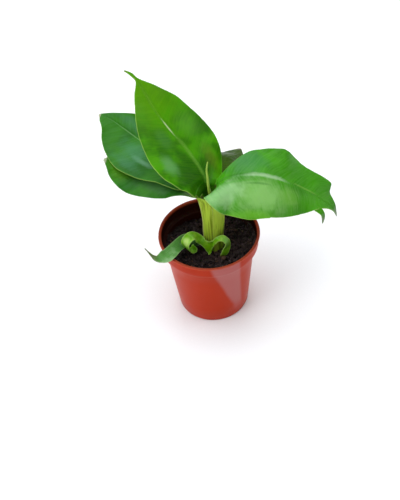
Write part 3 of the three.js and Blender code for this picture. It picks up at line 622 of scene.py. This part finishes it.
bulge = np.cos(2 * angles + 0.7) + 0.35 * np.sin(5 * angles + 9 * heightShare)
bulge *= pot["wobble"] * mm * heightShare
radius = np.maximum(np.hypot(points[:, 0], points[:, 1]), 1e-6)
far = np.clip((radius - 0.015) / 0.005, 0, 1) * bulge / radius
points[:, :2] *= 1 + far[:, None]
setPoints(potWall, points)
smoothShade(potWall, 40)

# injection-moulded polypropylene, terracotta coloured: smooth gloss with a slight orange peel,
# a greyish band at the right front that is a painted reflection, the inside painted dark as painted shade, a
# painted highlight on the top of the lip, and soil dust caught on the inside
plastic = {
    "deep": "AC2A06", "main": "BA320C", "lip": "C04E30", "inside": "2C0A03", "dust": "160A08",
    "paintedReflection": "B67270", "shine": 0.08, "gloss": 0.26,
}
plasticSkin, tree = newMaterial("terracotta polypropylene")
where = put(tree, "TexCoord", {}, 3)
cloud = put(tree, "TexNoise", {"Vector": where, "Scale": 60.0, "Detail": 3.0})
colour = put(tree, "Mix", {0: cloud, 6: plastic["deep"], 7: plastic["main"]}, **colourMix)
height = put(tree, "SeparateXYZ", {"Vector": where}, 2)
# the painted reflection, a greyish band, begins under the lip and narrows downwards
sideways = put(tree, "SeparateXYZ", {"Vector": where}, 0)
begins = put(tree, "MapRange", {"Value": height, "From Min": 0.012, "From Max": 0.055, "To Min": 0.01,
                                "To Max": -0.002})
begins = put(tree, "Math", {0: cloud, 1: 0.003, 2: begins}, operation="MULTIPLY_ADD")
past = put(tree, "Math", {0: sideways, 1: begins}, operation="SUBTRACT")
paintedReflection = put(tree, "MapRange", {"Value": past, "From Min": -0.002, "From Max": 0.001}, **smooth)
ends = put(tree, "MapRange", {"Value": sideways, "From Min": 0.0172, "From Max": 0.0150, "To Max": 0.68},
           **smooth)
fades = put(tree, "MapRange", {"Value": height, "From Min": 0.002, "From Max": 0.016}, **smooth)
frontSide = put(tree, "Math", {0: put(tree, "SeparateXYZ", {"Vector": where}, 1), 1: 0.0},
                operation="LESS_THAN")
for part in (ends, fades, frontSide):
    paintedReflection = put(tree, "Math", {0: paintedReflection, 1: part}, operation="MULTIPLY")
# the inside of the pot is painted near black as painted shade, with soil dust over it
outwards = put(tree, "VectorMath", {0: where, 1: (1, 1, 0), 2: (0, 0, -0.02)}, operation="MULTIPLY_ADD")
outwards = put(tree, "VectorMath", {0: put(tree, "NewGeometry", {}, 1), 1: outwards}, 1,
               operation="DOT_PRODUCT")
inside = put(tree, "Math", {0: outwards, 1: -0.001}, operation="LESS_THAN")
dust = put(tree, "TexNoise", {"Vector": where, "Scale": 700.0, "Detail": 5.0, "Roughness": 0.7})
dust = put(tree, "MapRange", {"Value": dust, "From Min": 0.52, "From Max": 0.66, "To Max": 0.8}, **smooth)
dust = put(tree, "Math", {0: dust, 1: inside}, operation="MULTIPLY")
# the top of the lip painted lighter: a painted highlight
lip = put(tree, "MapRange", {"Value": height, "From Min": 0.0550, "From Max": 0.0562, "To Max": 0.5})
for share, tint in ((paintedReflection, "paintedReflection"), (inside, "inside"), (dust, "dust"), (lip, "lip")):
    colour = put(tree, "Mix", {0: share, 6: colour, 7: plastic[tint]}, **colourMix)
rub = put(tree, "TexNoise", {"Vector": where, "Scale": 240.0, "Detail": 6.0, "Roughness": 0.7})
rub = put(tree, "MapRange", {"Value": rub, "To Min": plastic["gloss"], "To Max": plastic["gloss"] + 0.14})
peel = put(tree, "TexNoise", {"Vector": where, "Scale": 320.0, "Detail": 2.0})
peel = put(tree, "Math", {0: peel, 1: 0.00012}, operation="MULTIPLY")
bump = put(tree, "Bump", {"Strength": 0.3, "Distance": 1.0, "Height": peel})
put(tree, "OutputMaterial", {"Surface": put(tree, "BsdfPrincipled", {
    "Base Color": colour, "Roughness": rub, "IOR": 1.49, "Specular IOR Level": plastic["shine"],
    "Normal": bump})})
finishPiece(potWall, "pottedWall", "pot", "terracotta_plastic", plasticSkin)

print("soil")
soil = {
    "level": 45.7, "sideHeap": 4.6, "frontHeap": 1.1, "backLeftDip": 2.6, "reach": 27,
    "stemX": 1.95, "stemRadius": 6.75, "topRadius": 27.75, "cells": 230,
    "clumpSize": 2.4, "clumpHeight": 1.5, "grainHeight": 0.45, "seed": 5.5,
}


def soilHeight(x, y):
    side = (x / soil["reach"]) ** 2
    front = np.maximum(0, -y / soil["reach"])
    backLeft = np.maximum(0, (y - x) / 38 - 0.2)
    lumps = (0.45 * np.sin(0.61 * x + 1.3) * np.sin(0.53 * y - 0.4)
             + 0.3 * np.sin(1.27 * x - 0.9 * y) + 0.2 * np.cos(1.9 * y + 0.7 * x))
    calm = np.clip((np.hypot(x - soil["stemX"], y) - soil["stemRadius"]) / 6, 0, 1)
    return (soil["level"] + soil["sideHeap"] * side + soil["frontHeap"] * front
            - soil["backLeftDip"] * backLeft + lumps * calm)


def crumbRise(x, y):
    rise = np.zeros(len(x))
    for k in range(len(x)):
        spot = Vector((x[k], y[k], soil["seed"])) / soil["clumpSize"]
        near = noise.voronoi(spot, distance_metric="DISTANCE")[0]
        clump = max(0.0, min(1.0, (near[1] - near[0]) * 1.6))
        broad = noise.noise(spot * 0.45)
        grain = noise.turbulence(spot * 3.1, 3, False)
        rise[k] = soil["clumpHeight"] * (clump - 0.55) + 1.1 * broad + soil["grainHeight"] * (grain - 0.4)
    return rise


deselectAll()
bpy.ops.mesh.primitive_grid_add(x_subdivisions=soil["cells"], y_subdivisions=soil["cells"], size=2)
soilTop = bpy.context.object
flat = getPoints(soilTop)
discX = flat[:, 0] * np.sqrt(1 - flat[:, 1] ** 2 / 2) * soil["topRadius"]
discY = flat[:, 1] * np.sqrt(1 - flat[:, 0] ** 2 / 2) * soil["topRadius"]
height = soilHeight(discX, discY) + crumbRise(discX, discY)
wallCalm = np.clip((soil["topRadius"] - np.hypot(discX, discY)) / 1.2, 0, 1)
height = soilHeight(discX, discY) * (1 - wallCalm) + height * wallCalm
setPoints(soilTop, np.stack([discX, discY, height], 1) * mm)
bpy.context.view_layer.objects.active = soilTop
bpy.ops.object.mode_set(mode="EDIT")
bpy.ops.mesh.select_mode(type="EDGE")
bpy.ops.mesh.select_all(action="SELECT")
bpy.ops.mesh.region_to_loop()
# the body of the soil below its top: over the pot's ledge, then ring by ring down to the floor
soilRings = [(25.4, 43), (24.6, 38), (23.2, 25), (21.8, 12), (20.5, 1.9), (19.3, 1.35)]
ledgeDrop = 2
growth = soilRings[0][0] / soil["topRadius"]
bpy.ops.mesh.extrude_edges_move(TRANSFORM_OT_translate={"value": (0, 0, -ledgeDrop * mm)})
bpy.ops.transform.resize(value=(growth, growth, 1), center_override=(0, 0, 0))
bpy.ops.mesh.extrude_edges_move(TRANSFORM_OT_translate={"value": (0, 0, 0)})
bpy.ops.transform.resize(value=(1, 1, 0), center_override=(0, 0, soilRings[0][1] * mm))
extrudeRings(soilRings)
bpy.ops.mesh.edge_face_add()
bpy.ops.object.mode_set(mode="OBJECT")
# between the pot's ledge and the floor the soil keeps inside the wall
points = getPoints(soilTop) / mm
wallRadius = np.interp(points[:, 2], [1.3, 2, 12, 25, 38, 48.1, 49.7, 60],
                       [19.3, 20.5, 21.6, 23.0, 24.4, 25.5, 27.75, 27.75])
radius = np.maximum(np.hypot(points[:, 0], points[:, 1]), 0.001)
points[:, :2] *= np.minimum(1, wallRadius / radius)[:, None]
setPoints(soilTop, points * mm)

# crumbs of peat on the top, largest ones fewest: each is a dented ball of one of a few kinds
crumbs = {
    "seed": 41, "kinds": 6, "dent": 0.55, "flatten": 0.75, "facesKept": 0.6, "count": 1900,
    "least": 0.35, "most": 2.1, "skew": 2.8, "reach": 27.2, "rise": 0.35,
    "wallHeights": [44, 48.5, 49.8], "wallRadii": [25, 25.6, 27.4],
}
random.seed(crumbs["seed"])
crumbKinds = []
for kind in range(crumbs["kinds"]):
    deselectAll()
    bpy.ops.mesh.primitive_ico_sphere_add(subdivisions=2, radius=1, location=(0, 0, 0))
    crumb = bpy.context.object
    points = getPoints(crumb)
    for k, point in enumerate(points):
        points[k] *= 0.8 + crumbs["dent"] * noise.noise(Vector(point) * 1.3 + Vector((kind * 7.1, 0, 0)))
    points[:, 2] *= crumbs["flatten"]
    setPoints(crumb, points)
    fewer = crumb.modifiers.new("fewer", "DECIMATE")
    fewer.ratio = crumbs["facesKept"]
    applyModifiers(crumb)
    crumbKinds.append((getPoints(crumb), [tuple(f.vertices) for f in crumb.data.polygons]))
    bpy.data.objects.remove(crumb)


def meshPiece(points, faces):
    mesh = bpy.data.meshes.new("piece")
    mesh.from_pydata([tuple(v) for v in points], [], faces)
    made = bpy.data.objects.new("piece", mesh)
    bpy.context.scene.collection.objects.link(made)
    return made


def topOf(x, y):
    x, y = np.array([x]), np.array([y])
    return soilHeight(x, y)[0] + crumbRise(x, y)[0]


crumbPoints, crumbFaces, crumbTones = [], [], []
for k in range(crumbs["count"]):
    angle = random.uniform(0, 2 * math.pi)
    reach = crumbs["reach"] * math.sqrt(random.random())
    x, y = reach * math.cos(angle), reach * math.sin(angle)
    size = crumbs["least"] + (crumbs["most"] - crumbs["least"]) * random.random() ** crumbs["skew"]
    tone = random.random()
    turned = random.uniform(0, 6.3)
    twist = Matrix.Rotation(turned, 3, (random.random(), random.random(), random.random() + 0.2))
    shape, sides = random.choice(crumbKinds)
    top = topOf(x, y)
    wall = np.interp(top - size, crumbs["wallHeights"], crumbs["wallRadii"])
    if math.hypot(x - soil["stemX"], y) < soil["stemRadius"] - 1 or reach + size > wall:
        continue
    start = len(crumbPoints)
    for point in shape:
        moved = twist @ Vector(point * size)
        crumbPoints.append((moved.x + x, moved.y + y, moved.z + top + crumbs["rise"] * size))
        crumbTones.append(tone)
    crumbFaces += [tuple(v + start for v in face) for face in sides]
soilCrumbs = meshPiece(np.array(crumbPoints) * mm, crumbFaces)
addAttribute(soilCrumbs, "crumbTone", crumbTones)


# a thin round strand through the given points
def strand(line, radii, sides, steps):
    rows = smoothRows([[*p, r] for p, r in zip(line, radii)], steps)
    at = rows[:, :3]
    along = unit(np.gradient(at, axis=0))
    across = unit(np.cross(along, [0.13, 0.21, 0.97]))
    over = np.cross(along, across)
    points, faces = [], []
    for i in range(steps):
        for j in range(sides):
            angle = 2 * math.pi * j / sides
            points.append(at[i] + rows[i, 3] * (math.cos(angle) * across[i] + math.sin(angle) * over[i]))
    for i in range(steps - 1):
        for j in range(sides):
            k = (j + 1) % sides
            faces.append((i * sides + j, i * sides + k, (i + 1) * sides + k, (i + 1) * sides + j))
    faces.append(tuple(reversed(range(sides))))
    faces.append(tuple((steps - 1) * sides + j for j in range(sides)))
    return points, faces


# dead roots and fibres in the peat, and one thicker tan root at the left
fibres = {
    "count": 70, "nearest": 9, "spread": 16, "farthest": 26.5, "least": 1.5, "most": 6, "bend": 0.5,
    "thinnest": 0.07, "thickest": 0.16, "taper": [1, 1, 0.8, 0.4], "sides": 5, "steps": 10,
    "tanRoot": [(-11.3, 5.2, 46.2), (-9.6, 6.6, 47.6), (-7.4, 8.3, 48.2), (-6.2, 9.6, 47.2)],
    "tanRadii": [0.25, 0.3, 0.28, 0.2], "tanTone": 0.95,
}
fibrePoints, fibreFaces, fibreTones = [], [], []
fibreLines = []
for k in range(fibres["count"]):
    angle = random.uniform(0, 2 * math.pi)
    reach = fibres["nearest"] + fibres["spread"] * math.sqrt(random.random())
    heading = random.uniform(0, 2 * math.pi)
    length = random.uniform(fibres["least"], fibres["most"])
    bend = random.uniform(-fibres["bend"], fibres["bend"])
    x, y = reach * math.cos(angle), reach * math.sin(angle)
    thick = random.uniform(fibres["thinnest"], fibres["thickest"])
    line = []
    for step in range(len(fibres["taper"])):
        x += length / 3 * math.cos(heading)
        y += length / 3 * math.sin(heading)
        heading += bend
        if math.hypot(x, y) > fibres["farthest"]:
            break
        line.append((x, y, topOf(x, y) + random.uniform(0.1, 0.6)))
    if len(line) == len(fibres["taper"]):
        fibreLines.append((line, [thick * share for share in fibres["taper"]], random.random()))
fibreLines.append((fibres["tanRoot"], fibres["tanRadii"], fibres["tanTone"]))
for line, radii, tone in fibreLines:
    points, faces = strand(line, radii, fibres["sides"], fibres["steps"])
    start = len(fibrePoints)
    fibrePoints += points
    fibreTones += [tone] * len(points)
    fibreFaces += [tuple(v + start for v in face) for face in faces]
rootFibres = meshPiece(np.array(fibrePoints) * mm, fibreFaces)
addAttribute(rootFibres, "crumbTone", fibreTones)

# moist black peat: almost black, matt, with purplish grey specks scattered by noise over the grains
peat, tree = newMaterial("moist black peat")
where = put(tree, "TexCoord", {}, 3)
tone = put(tree, "Attribute", {}, 2, attribute_name="crumbTone")
grains = put(tree, "TexNoise", {"Vector": where, "Scale": 520.0, "Detail": 6.0, "Roughness": 0.75})
clods = put(tree, "TexNoise", {"Vector": where, "Scale": 140.0, "Detail": 4.0, "Roughness": 0.6})
clods = put(tree, "MapRange", {"Value": clods, "From Min": 0.35, "From Max": 0.65})
specks = put(tree, "MapRange", {"Value": grains, "From Min": 0.56, "From Max": 0.7, "To Max": 0.8})
dryCrumb = put(tree, "MapRange", {"Value": tone, "From Min": 0.88, "From Max": 0.98})
colour = "170E0E"
for share, tint in ((clods, "32221F"), (specks, "6C5A62"), (dryCrumb, "4A3325")):
    colour = put(tree, "Mix", {0: share, 6: colour, 7: tint}, **colourMix)
rough = put(tree, "MapRange", {"Value": grains, "To Min": 0.5, "To Max": 0.95})
height = put(tree, "Math", {0: grains, 1: 0.0006}, operation="MULTIPLY")
bump = put(tree, "Bump", {"Strength": 1.0, "Distance": 1.0, "Height": height})
put(tree, "OutputMaterial", {"Surface": put(tree, "BsdfPrincipled", {
    "Base Color": colour, "Roughness": rough, "Specular IOR Level": 0.25, "Normal": bump})})

# dead root fibre: tan to brown, dull
fibreSkin, tree = newMaterial("dead root fibre")
where = put(tree, "TexCoord", {}, 3)
spots = put(tree, "TexNoise", {"Vector": where, "Scale": 900.0, "Detail": 3.0})
tone = put(tree, "Attribute", {}, 2, attribute_name="crumbTone")
colour = put(tree, "Mix", {0: tone, 6: "33201A", 7: "9A6B4A"}, **colourMix)
spots = put(tree, "MapRange", {"Value": spots, "From Min": 0.4, "From Max": 0.7})
colour = put(tree, "Mix", {0: spots, 6: colour, 7: "4A3024"}, **colourMix)
put(tree, "OutputMaterial", {"Surface": put(tree, "BsdfPrincipled", {"Base Color": colour, "Roughness": 0.8})})

for piece in (soilTop, soilCrumbs, rootFibres):
    smoothShade(piece, 50)
finishPiece(soilTop, "peatBody", "soil", "peat_soil", peat)
finishPiece(soilCrumbs, "peatCrumbs", None, "peat_soil", peat)
finishPiece(rootFibres, "rootFibres", None, "peat_soil", fibreSkin)

print("stem heart, spear, burst sheath and oldest leaf")
heart = {
    "line": [(1.9, 0, 40), (2, 0, 50), (2.6, 0, 62), (3.1, 0, 72), (3.1, 0.2, 79)],
    "radii": [3.9, 4.4, 4.8, 4.9, 4.2],
    "sides": 40, "steps": 60,
}
points, faces = strand(heart["line"], heart["radii"], heart["sides"], heart["steps"])
stemHeart = meshPiece(np.array(points) * mm, faces)

spear = {
    "line": [(3, -0.3, 72.5), (2.9, -0.5, 84), (2, -1, 94.5), (1.8, 0, 101), (1.6, 1, 106), (2.5, 2, 111)],
    "radii": [1.3, 1.1, 0.8, 0.62, 0.52, 0.3],
    "rows": 90, "columns": 40, "turns": 1.35, "thickness": 0.2,
    "start": 0.9, "twist": 1.5, "shrink": 0.38,
}
# the newest leaf is a sheet rolled on itself: a grid wound round the spear's line
spearLeaf, row, column = indexedGrid(spear["columns"] + 1, spear["rows"] + 1)
share = column / spear["columns"]
rows = smoothRows([[*p, r] for p, r in zip(spear["line"], spear["radii"])], spear["rows"] + 1)
at = rows[row, :3]
alongLine = unit(np.gradient(rows[:, :3], axis=0))[row]
acrossLine = unit(np.cross(alongLine, [0.9, 0.1, 0.1]))
overLine = np.cross(alongLine, acrossLine)
wind = 2 * math.pi * spear["turns"] * share + spear["start"] + spear["twist"] * row / spear["rows"]
radius = rows[row, 3] * (1 - spear["shrink"] * share)
points = at + radius[:, None] * (np.cos(wind)[:, None] * acrossLine + np.sin(wind)[:, None] * overLine)
setPoints(spearLeaf, points * mm)
wall = spearLeaf.modifiers.new("wall", "SOLIDIFY")
wall.thickness = spear["thickness"] * mm
wall.offset = 0
applyModifiers(spearLeaf)

ribbon = {"halfColumns": 7, "thickness": 0.5, "ridge": 0.06, "ridgeSpacing": 0.9, "swell": 0.25}


def makeRibbon(look):
    columnCount = 2 * look["halfColumns"] + 1
    strip, row, column = indexedGrid(columnCount, look["rows"])
    shares = np.linspace(-1, 1, columnCount)
    points, width, length = bladeSurface(bothHalves(look["stations"]), look["rows"], shares)
    along = np.repeat(length[:, None], columnCount, 1)
    across = width * shares[None, :]
    rise = look["ridge"] * np.sin(2 * math.pi * across / look["ridgeSpacing"])
    rise += look["swell"] * hillNoise(along / 6, across / 3, look["seed"])
    points = points + surfaceNormals(points) * rise[..., None]
    setPoints(strip, points[row, column] * mm)
    measures = {"acrossBlade": across, "alongBlade": along, "toTip": length[-1] - along,
                "toEdge": width * (1 - np.abs(shares)[None, :])}
    for key, values in measures.items():
        addAttribute(strip, key, values[row, column])
    wall = strip.modifiers.new("wall", "SOLIDIFY")
    wall.thickness = look["thickness"] * mm
    wall.offset = 0
    wall.material_offset = 1
    applyModifiers(strip)
    smoothShade(strip, 70)
    return strip


oldSheath = dict(ribbon, rows=220, seed=3.2, stations=[
    [(-9, -6.5, 53), (0.5, 0.4, 0.8), 2.4, 2.2],
    [(-10, -7.5, 51), (0.6, 0.5, -0.6), 2.8, 2.4],
    [(-12.5, -9.5, 53), (-0.2, -0.15, -1), 3, 2.8],
    [(-14.5, -11, 59), (-0.75, -0.6, -0.3), 3.2],
    [(-13.5, -10.5, 63), (-0.6, -0.45, 0.6), 3.3, 3.4],
    [(-10, -7.5, 63), (0, -0.1, 1), 3.4, 3.6],
    [(-6, -5.5, 57.5), (0.45, -0.75, 0.8), 2.8, 2.6],
    [(-3.85, -6.35, 55.36), (-0.2, -1, 0.5), (2.3, 4, 0, -0.4), (2.3, -4, 0, 0.4)],
    [(-1.89, -7.43, 55.18), (-0.3, -1, 0.3), (2.1, 2, 0, 0.3), (5, -2, 0, -0.8)],
    [(-0.45, -8.34, 55.64), (-0.1, -1, 0.3), (1.9, 6, 0, 0.8), (7.5, -6, 0, -3.4)],
    [(1.03, -8.3, 56.25), (0.1, -1, 0.3), (1.6, 9, 0, 0.7), (4.7, -9, 0, -2.2)],
    [(2.71, -8.03, 56.9), (0.1, -0.9, 0.5), (1.4, -11, 0, 1.1), (1.7, 11, 0, -1.3)],
    [(5.06, -8.7, 59.57), (0, -0.6, 0.9), (1.7, -13, 0, 0.3), (1.7, 13, 0, -0.3)],
    [(7.83, -9.35, 60.36), (0.3, -0.4, 1), (2.1, -6, 0, -0.3), (2.1, 6, 0, 0.3)],
    [(10, -10.5, 58), (0.8, -0.5, 0.5), 2.6, 2.2],
    [(9.5, -10.5, 53.5), (0.75, -0.75, 0.1), (2.8, 9, 0, 0.1), (2.4, -8, 0, -0.3)],
    [(8.25, -11.6, 50.61), (0.6, -0.75, 0.1), (2.4, 12, 0, 0), (2.4, -12, 0, -0.2)],
    [(6.62, -11.5, 47.3), (0.5, -0.8, 0.1), (1.5, 15, 0, -0.3), (1.5, -16, 0, -0.1)],
])
oldLeafLeft = dict(ribbon, rows=120, seed=7.7, stations=[
    [(-6.8, -1.2, 47.8), (-0.5, -0.2, 0.4), 1.6],
    [(-10, -1.8, 50.8), (-0.5, -0.5, 0.6), 3],
    [(-14, -3, 54.5), (0.7, -0.42, 0.58), 3.2, 4.3],
    [(-19.4, -9.3, 56.7), (0.55, -0.13, 0.82), 3.2, 4],
    [(-24, -16, 59), (0.33, 0.05, 0.94), 4.1],
    [(-27, -19, 60), (0.42, -0.23, 0.88), 3.9],
    [(-31, -21, 61), (0.54, -0.28, 0.79), 2],
    [(-33.5, -21, 63.5), (0.57, -0.51, 0.64), 1],
    [(-35.5, -20, 66), (0.63, -0.4, 0.66), 0.3],
    [(-37.5, -19, 68.5), (0.64, -0.43, 0.64), 0.2],
])


# leaf tissue of one ribbon: long fine veins, colour that runs along it, pale margin
def ribbonSkin(name, tones):
    made, tree = newMaterial(name)
    across, along, toEdge, toTip = [put(tree, "Attribute", {}, 2, attribute_name=key)
                                    for key in ("acrossBlade", "alongBlade", "toEdge", "toTip")]
    run = put(tree, "CombineXYZ", {"X": put(tree, "Math", {0: across, 1: 2.2}, operation="MULTIPLY"),
                                   "Y": put(tree, "Math", {0: along, 1: 0.12}, operation="MULTIPLY")})
    lines = put(tree, "TexNoise", {"Vector": run, "Scale": 1.0, "Detail": 3.0})
    share = put(tree, "MapRange", {"Value": lines, "From Min": 0.35, "From Max": 0.65})
    colour = put(tree, "Mix", {0: share, 6: tones["deep"], 7: tones["main"]}, **colourMix)
    patch = put(tree, "TexNoise", {"Vector": put(tree, "TexCoord", {}, 3), "Scale": 160.0, "Detail": 3.0})
    patch = put(tree, "MapRange", {"Value": patch, "From Min": 0.5, "From Max": 0.7})
    colour = put(tree, "Mix", {0: patch, 6: colour, 7: tones["light"]}, **colourMix)
    colour = layAreas(tree, colour, along, across, tones["areas"], (1.1, 0.3))
    margin = put(tree, "MapRange", {"Value": toEdge, "From Min": 0.7, "From Max": 0.15,
                                    "To Max": tones["marginShare"]}, **smooth)
    dry = put(tree, "MapRange", {"Value": toTip, "From Min": tones["dryLength"], "From Max":
                                 tones["dryLength"] * 0.4, "To Max": 0.8}, **smooth)
    for share, tint in ((margin, "margin"), (dry, "dry")):
        colour = put(tree, "Mix", {0: share, 6: colour, 7: tones[tint]}, **colourMix)
    height = put(tree, "Math", {0: lines, 1: 0.0003}, operation="MULTIPLY")
    bump = put(tree, "Bump", {"Strength": 0.8, "Distance": 1.0, "Height": height})
    put(tree, "OutputMaterial", {"Surface": put(tree, "BsdfPrincipled", {
        **leafTissue, "Base Color": colour, "Roughness": tones["gloss"], "Normal": bump})})
    return made


freshRibbon = {"deep": "5E9E04", "main": "76B40E", "light": "92C834", "margin": "BCD676", "marginShare": 0.5,
               "dry": "8A7A3A", "dryLength": 2.0, "gloss": 0.28, "areas": [
    [16, 0.5, 4, 3, 0.75, "BCDC74"],  # painted highlight over the turn of the left coil
    # painted highlight on the face of the hook
    [50, 0, 5, 3, 0.6, "8CC060"],
]}
innerRibbon = dict(freshRibbon, deep="5C9810", main="74AE20", light="92C446")
greyRibbon = {"deep": "4A8636", "main": "5C9644", "light": "84AE72", "margin": "A4C284", "marginShare": 0.4,
              "dry": "4E5208", "dryLength": 13.0, "gloss": 0.38, "areas": []}
# the newest leaf and the young sheaths round the heart: pale yellow-green, hardly veined
youngSkin, tree = newMaterial("unopened young leaf")
youngAt = put(tree, "Mapping", {"Vector": put(tree, "TexCoord", {}, 3), "Scale": (1100.0, 1100.0, 60.0)})
youngLines = put(tree, "TexNoise", {"Vector": youngAt, "Scale": 1.0, "Detail": 3.0})
colour = put(tree, "Mix", {0: youngLines, 6: "7EA81E", 7: "B4CE5A"}, **colourMix)
put(tree, "OutputMaterial", {"Surface": put(tree, "BsdfPrincipled", {
    **leafTissue, "Base Color": colour, "Roughness": 0.38})})
finishPiece(makeRibbon(oldSheath), "burstSheath", "old_sheath", "old_sheath_skin",
            ribbonSkin("fresh torn sheath, outer skin", freshRibbon),
            ribbonSkin("fresh torn sheath, inner skin", innerRibbon))
finishPiece(makeRibbon(oldLeafLeft), "oldestLeaf", "old_leaf_left", "old_leaf_grey_green",
            ribbonSkin("ageing banana leaf, upper skin", greyRibbon),
            ribbonSkin("ageing banana leaf, underside", dict(greyRibbon, deep="5E8A58", main="6C9A64")))
smoothShade(spearLeaf, 70)
smoothShade(stemHeart, 50)
finishPiece(spearLeaf, "rolledSpear", "new_leaf_spear", "young_leaf", youngSkin)
finishPiece(stemHeart, "stemHeart", "pseudostem", "stem_skin", youngSkin)
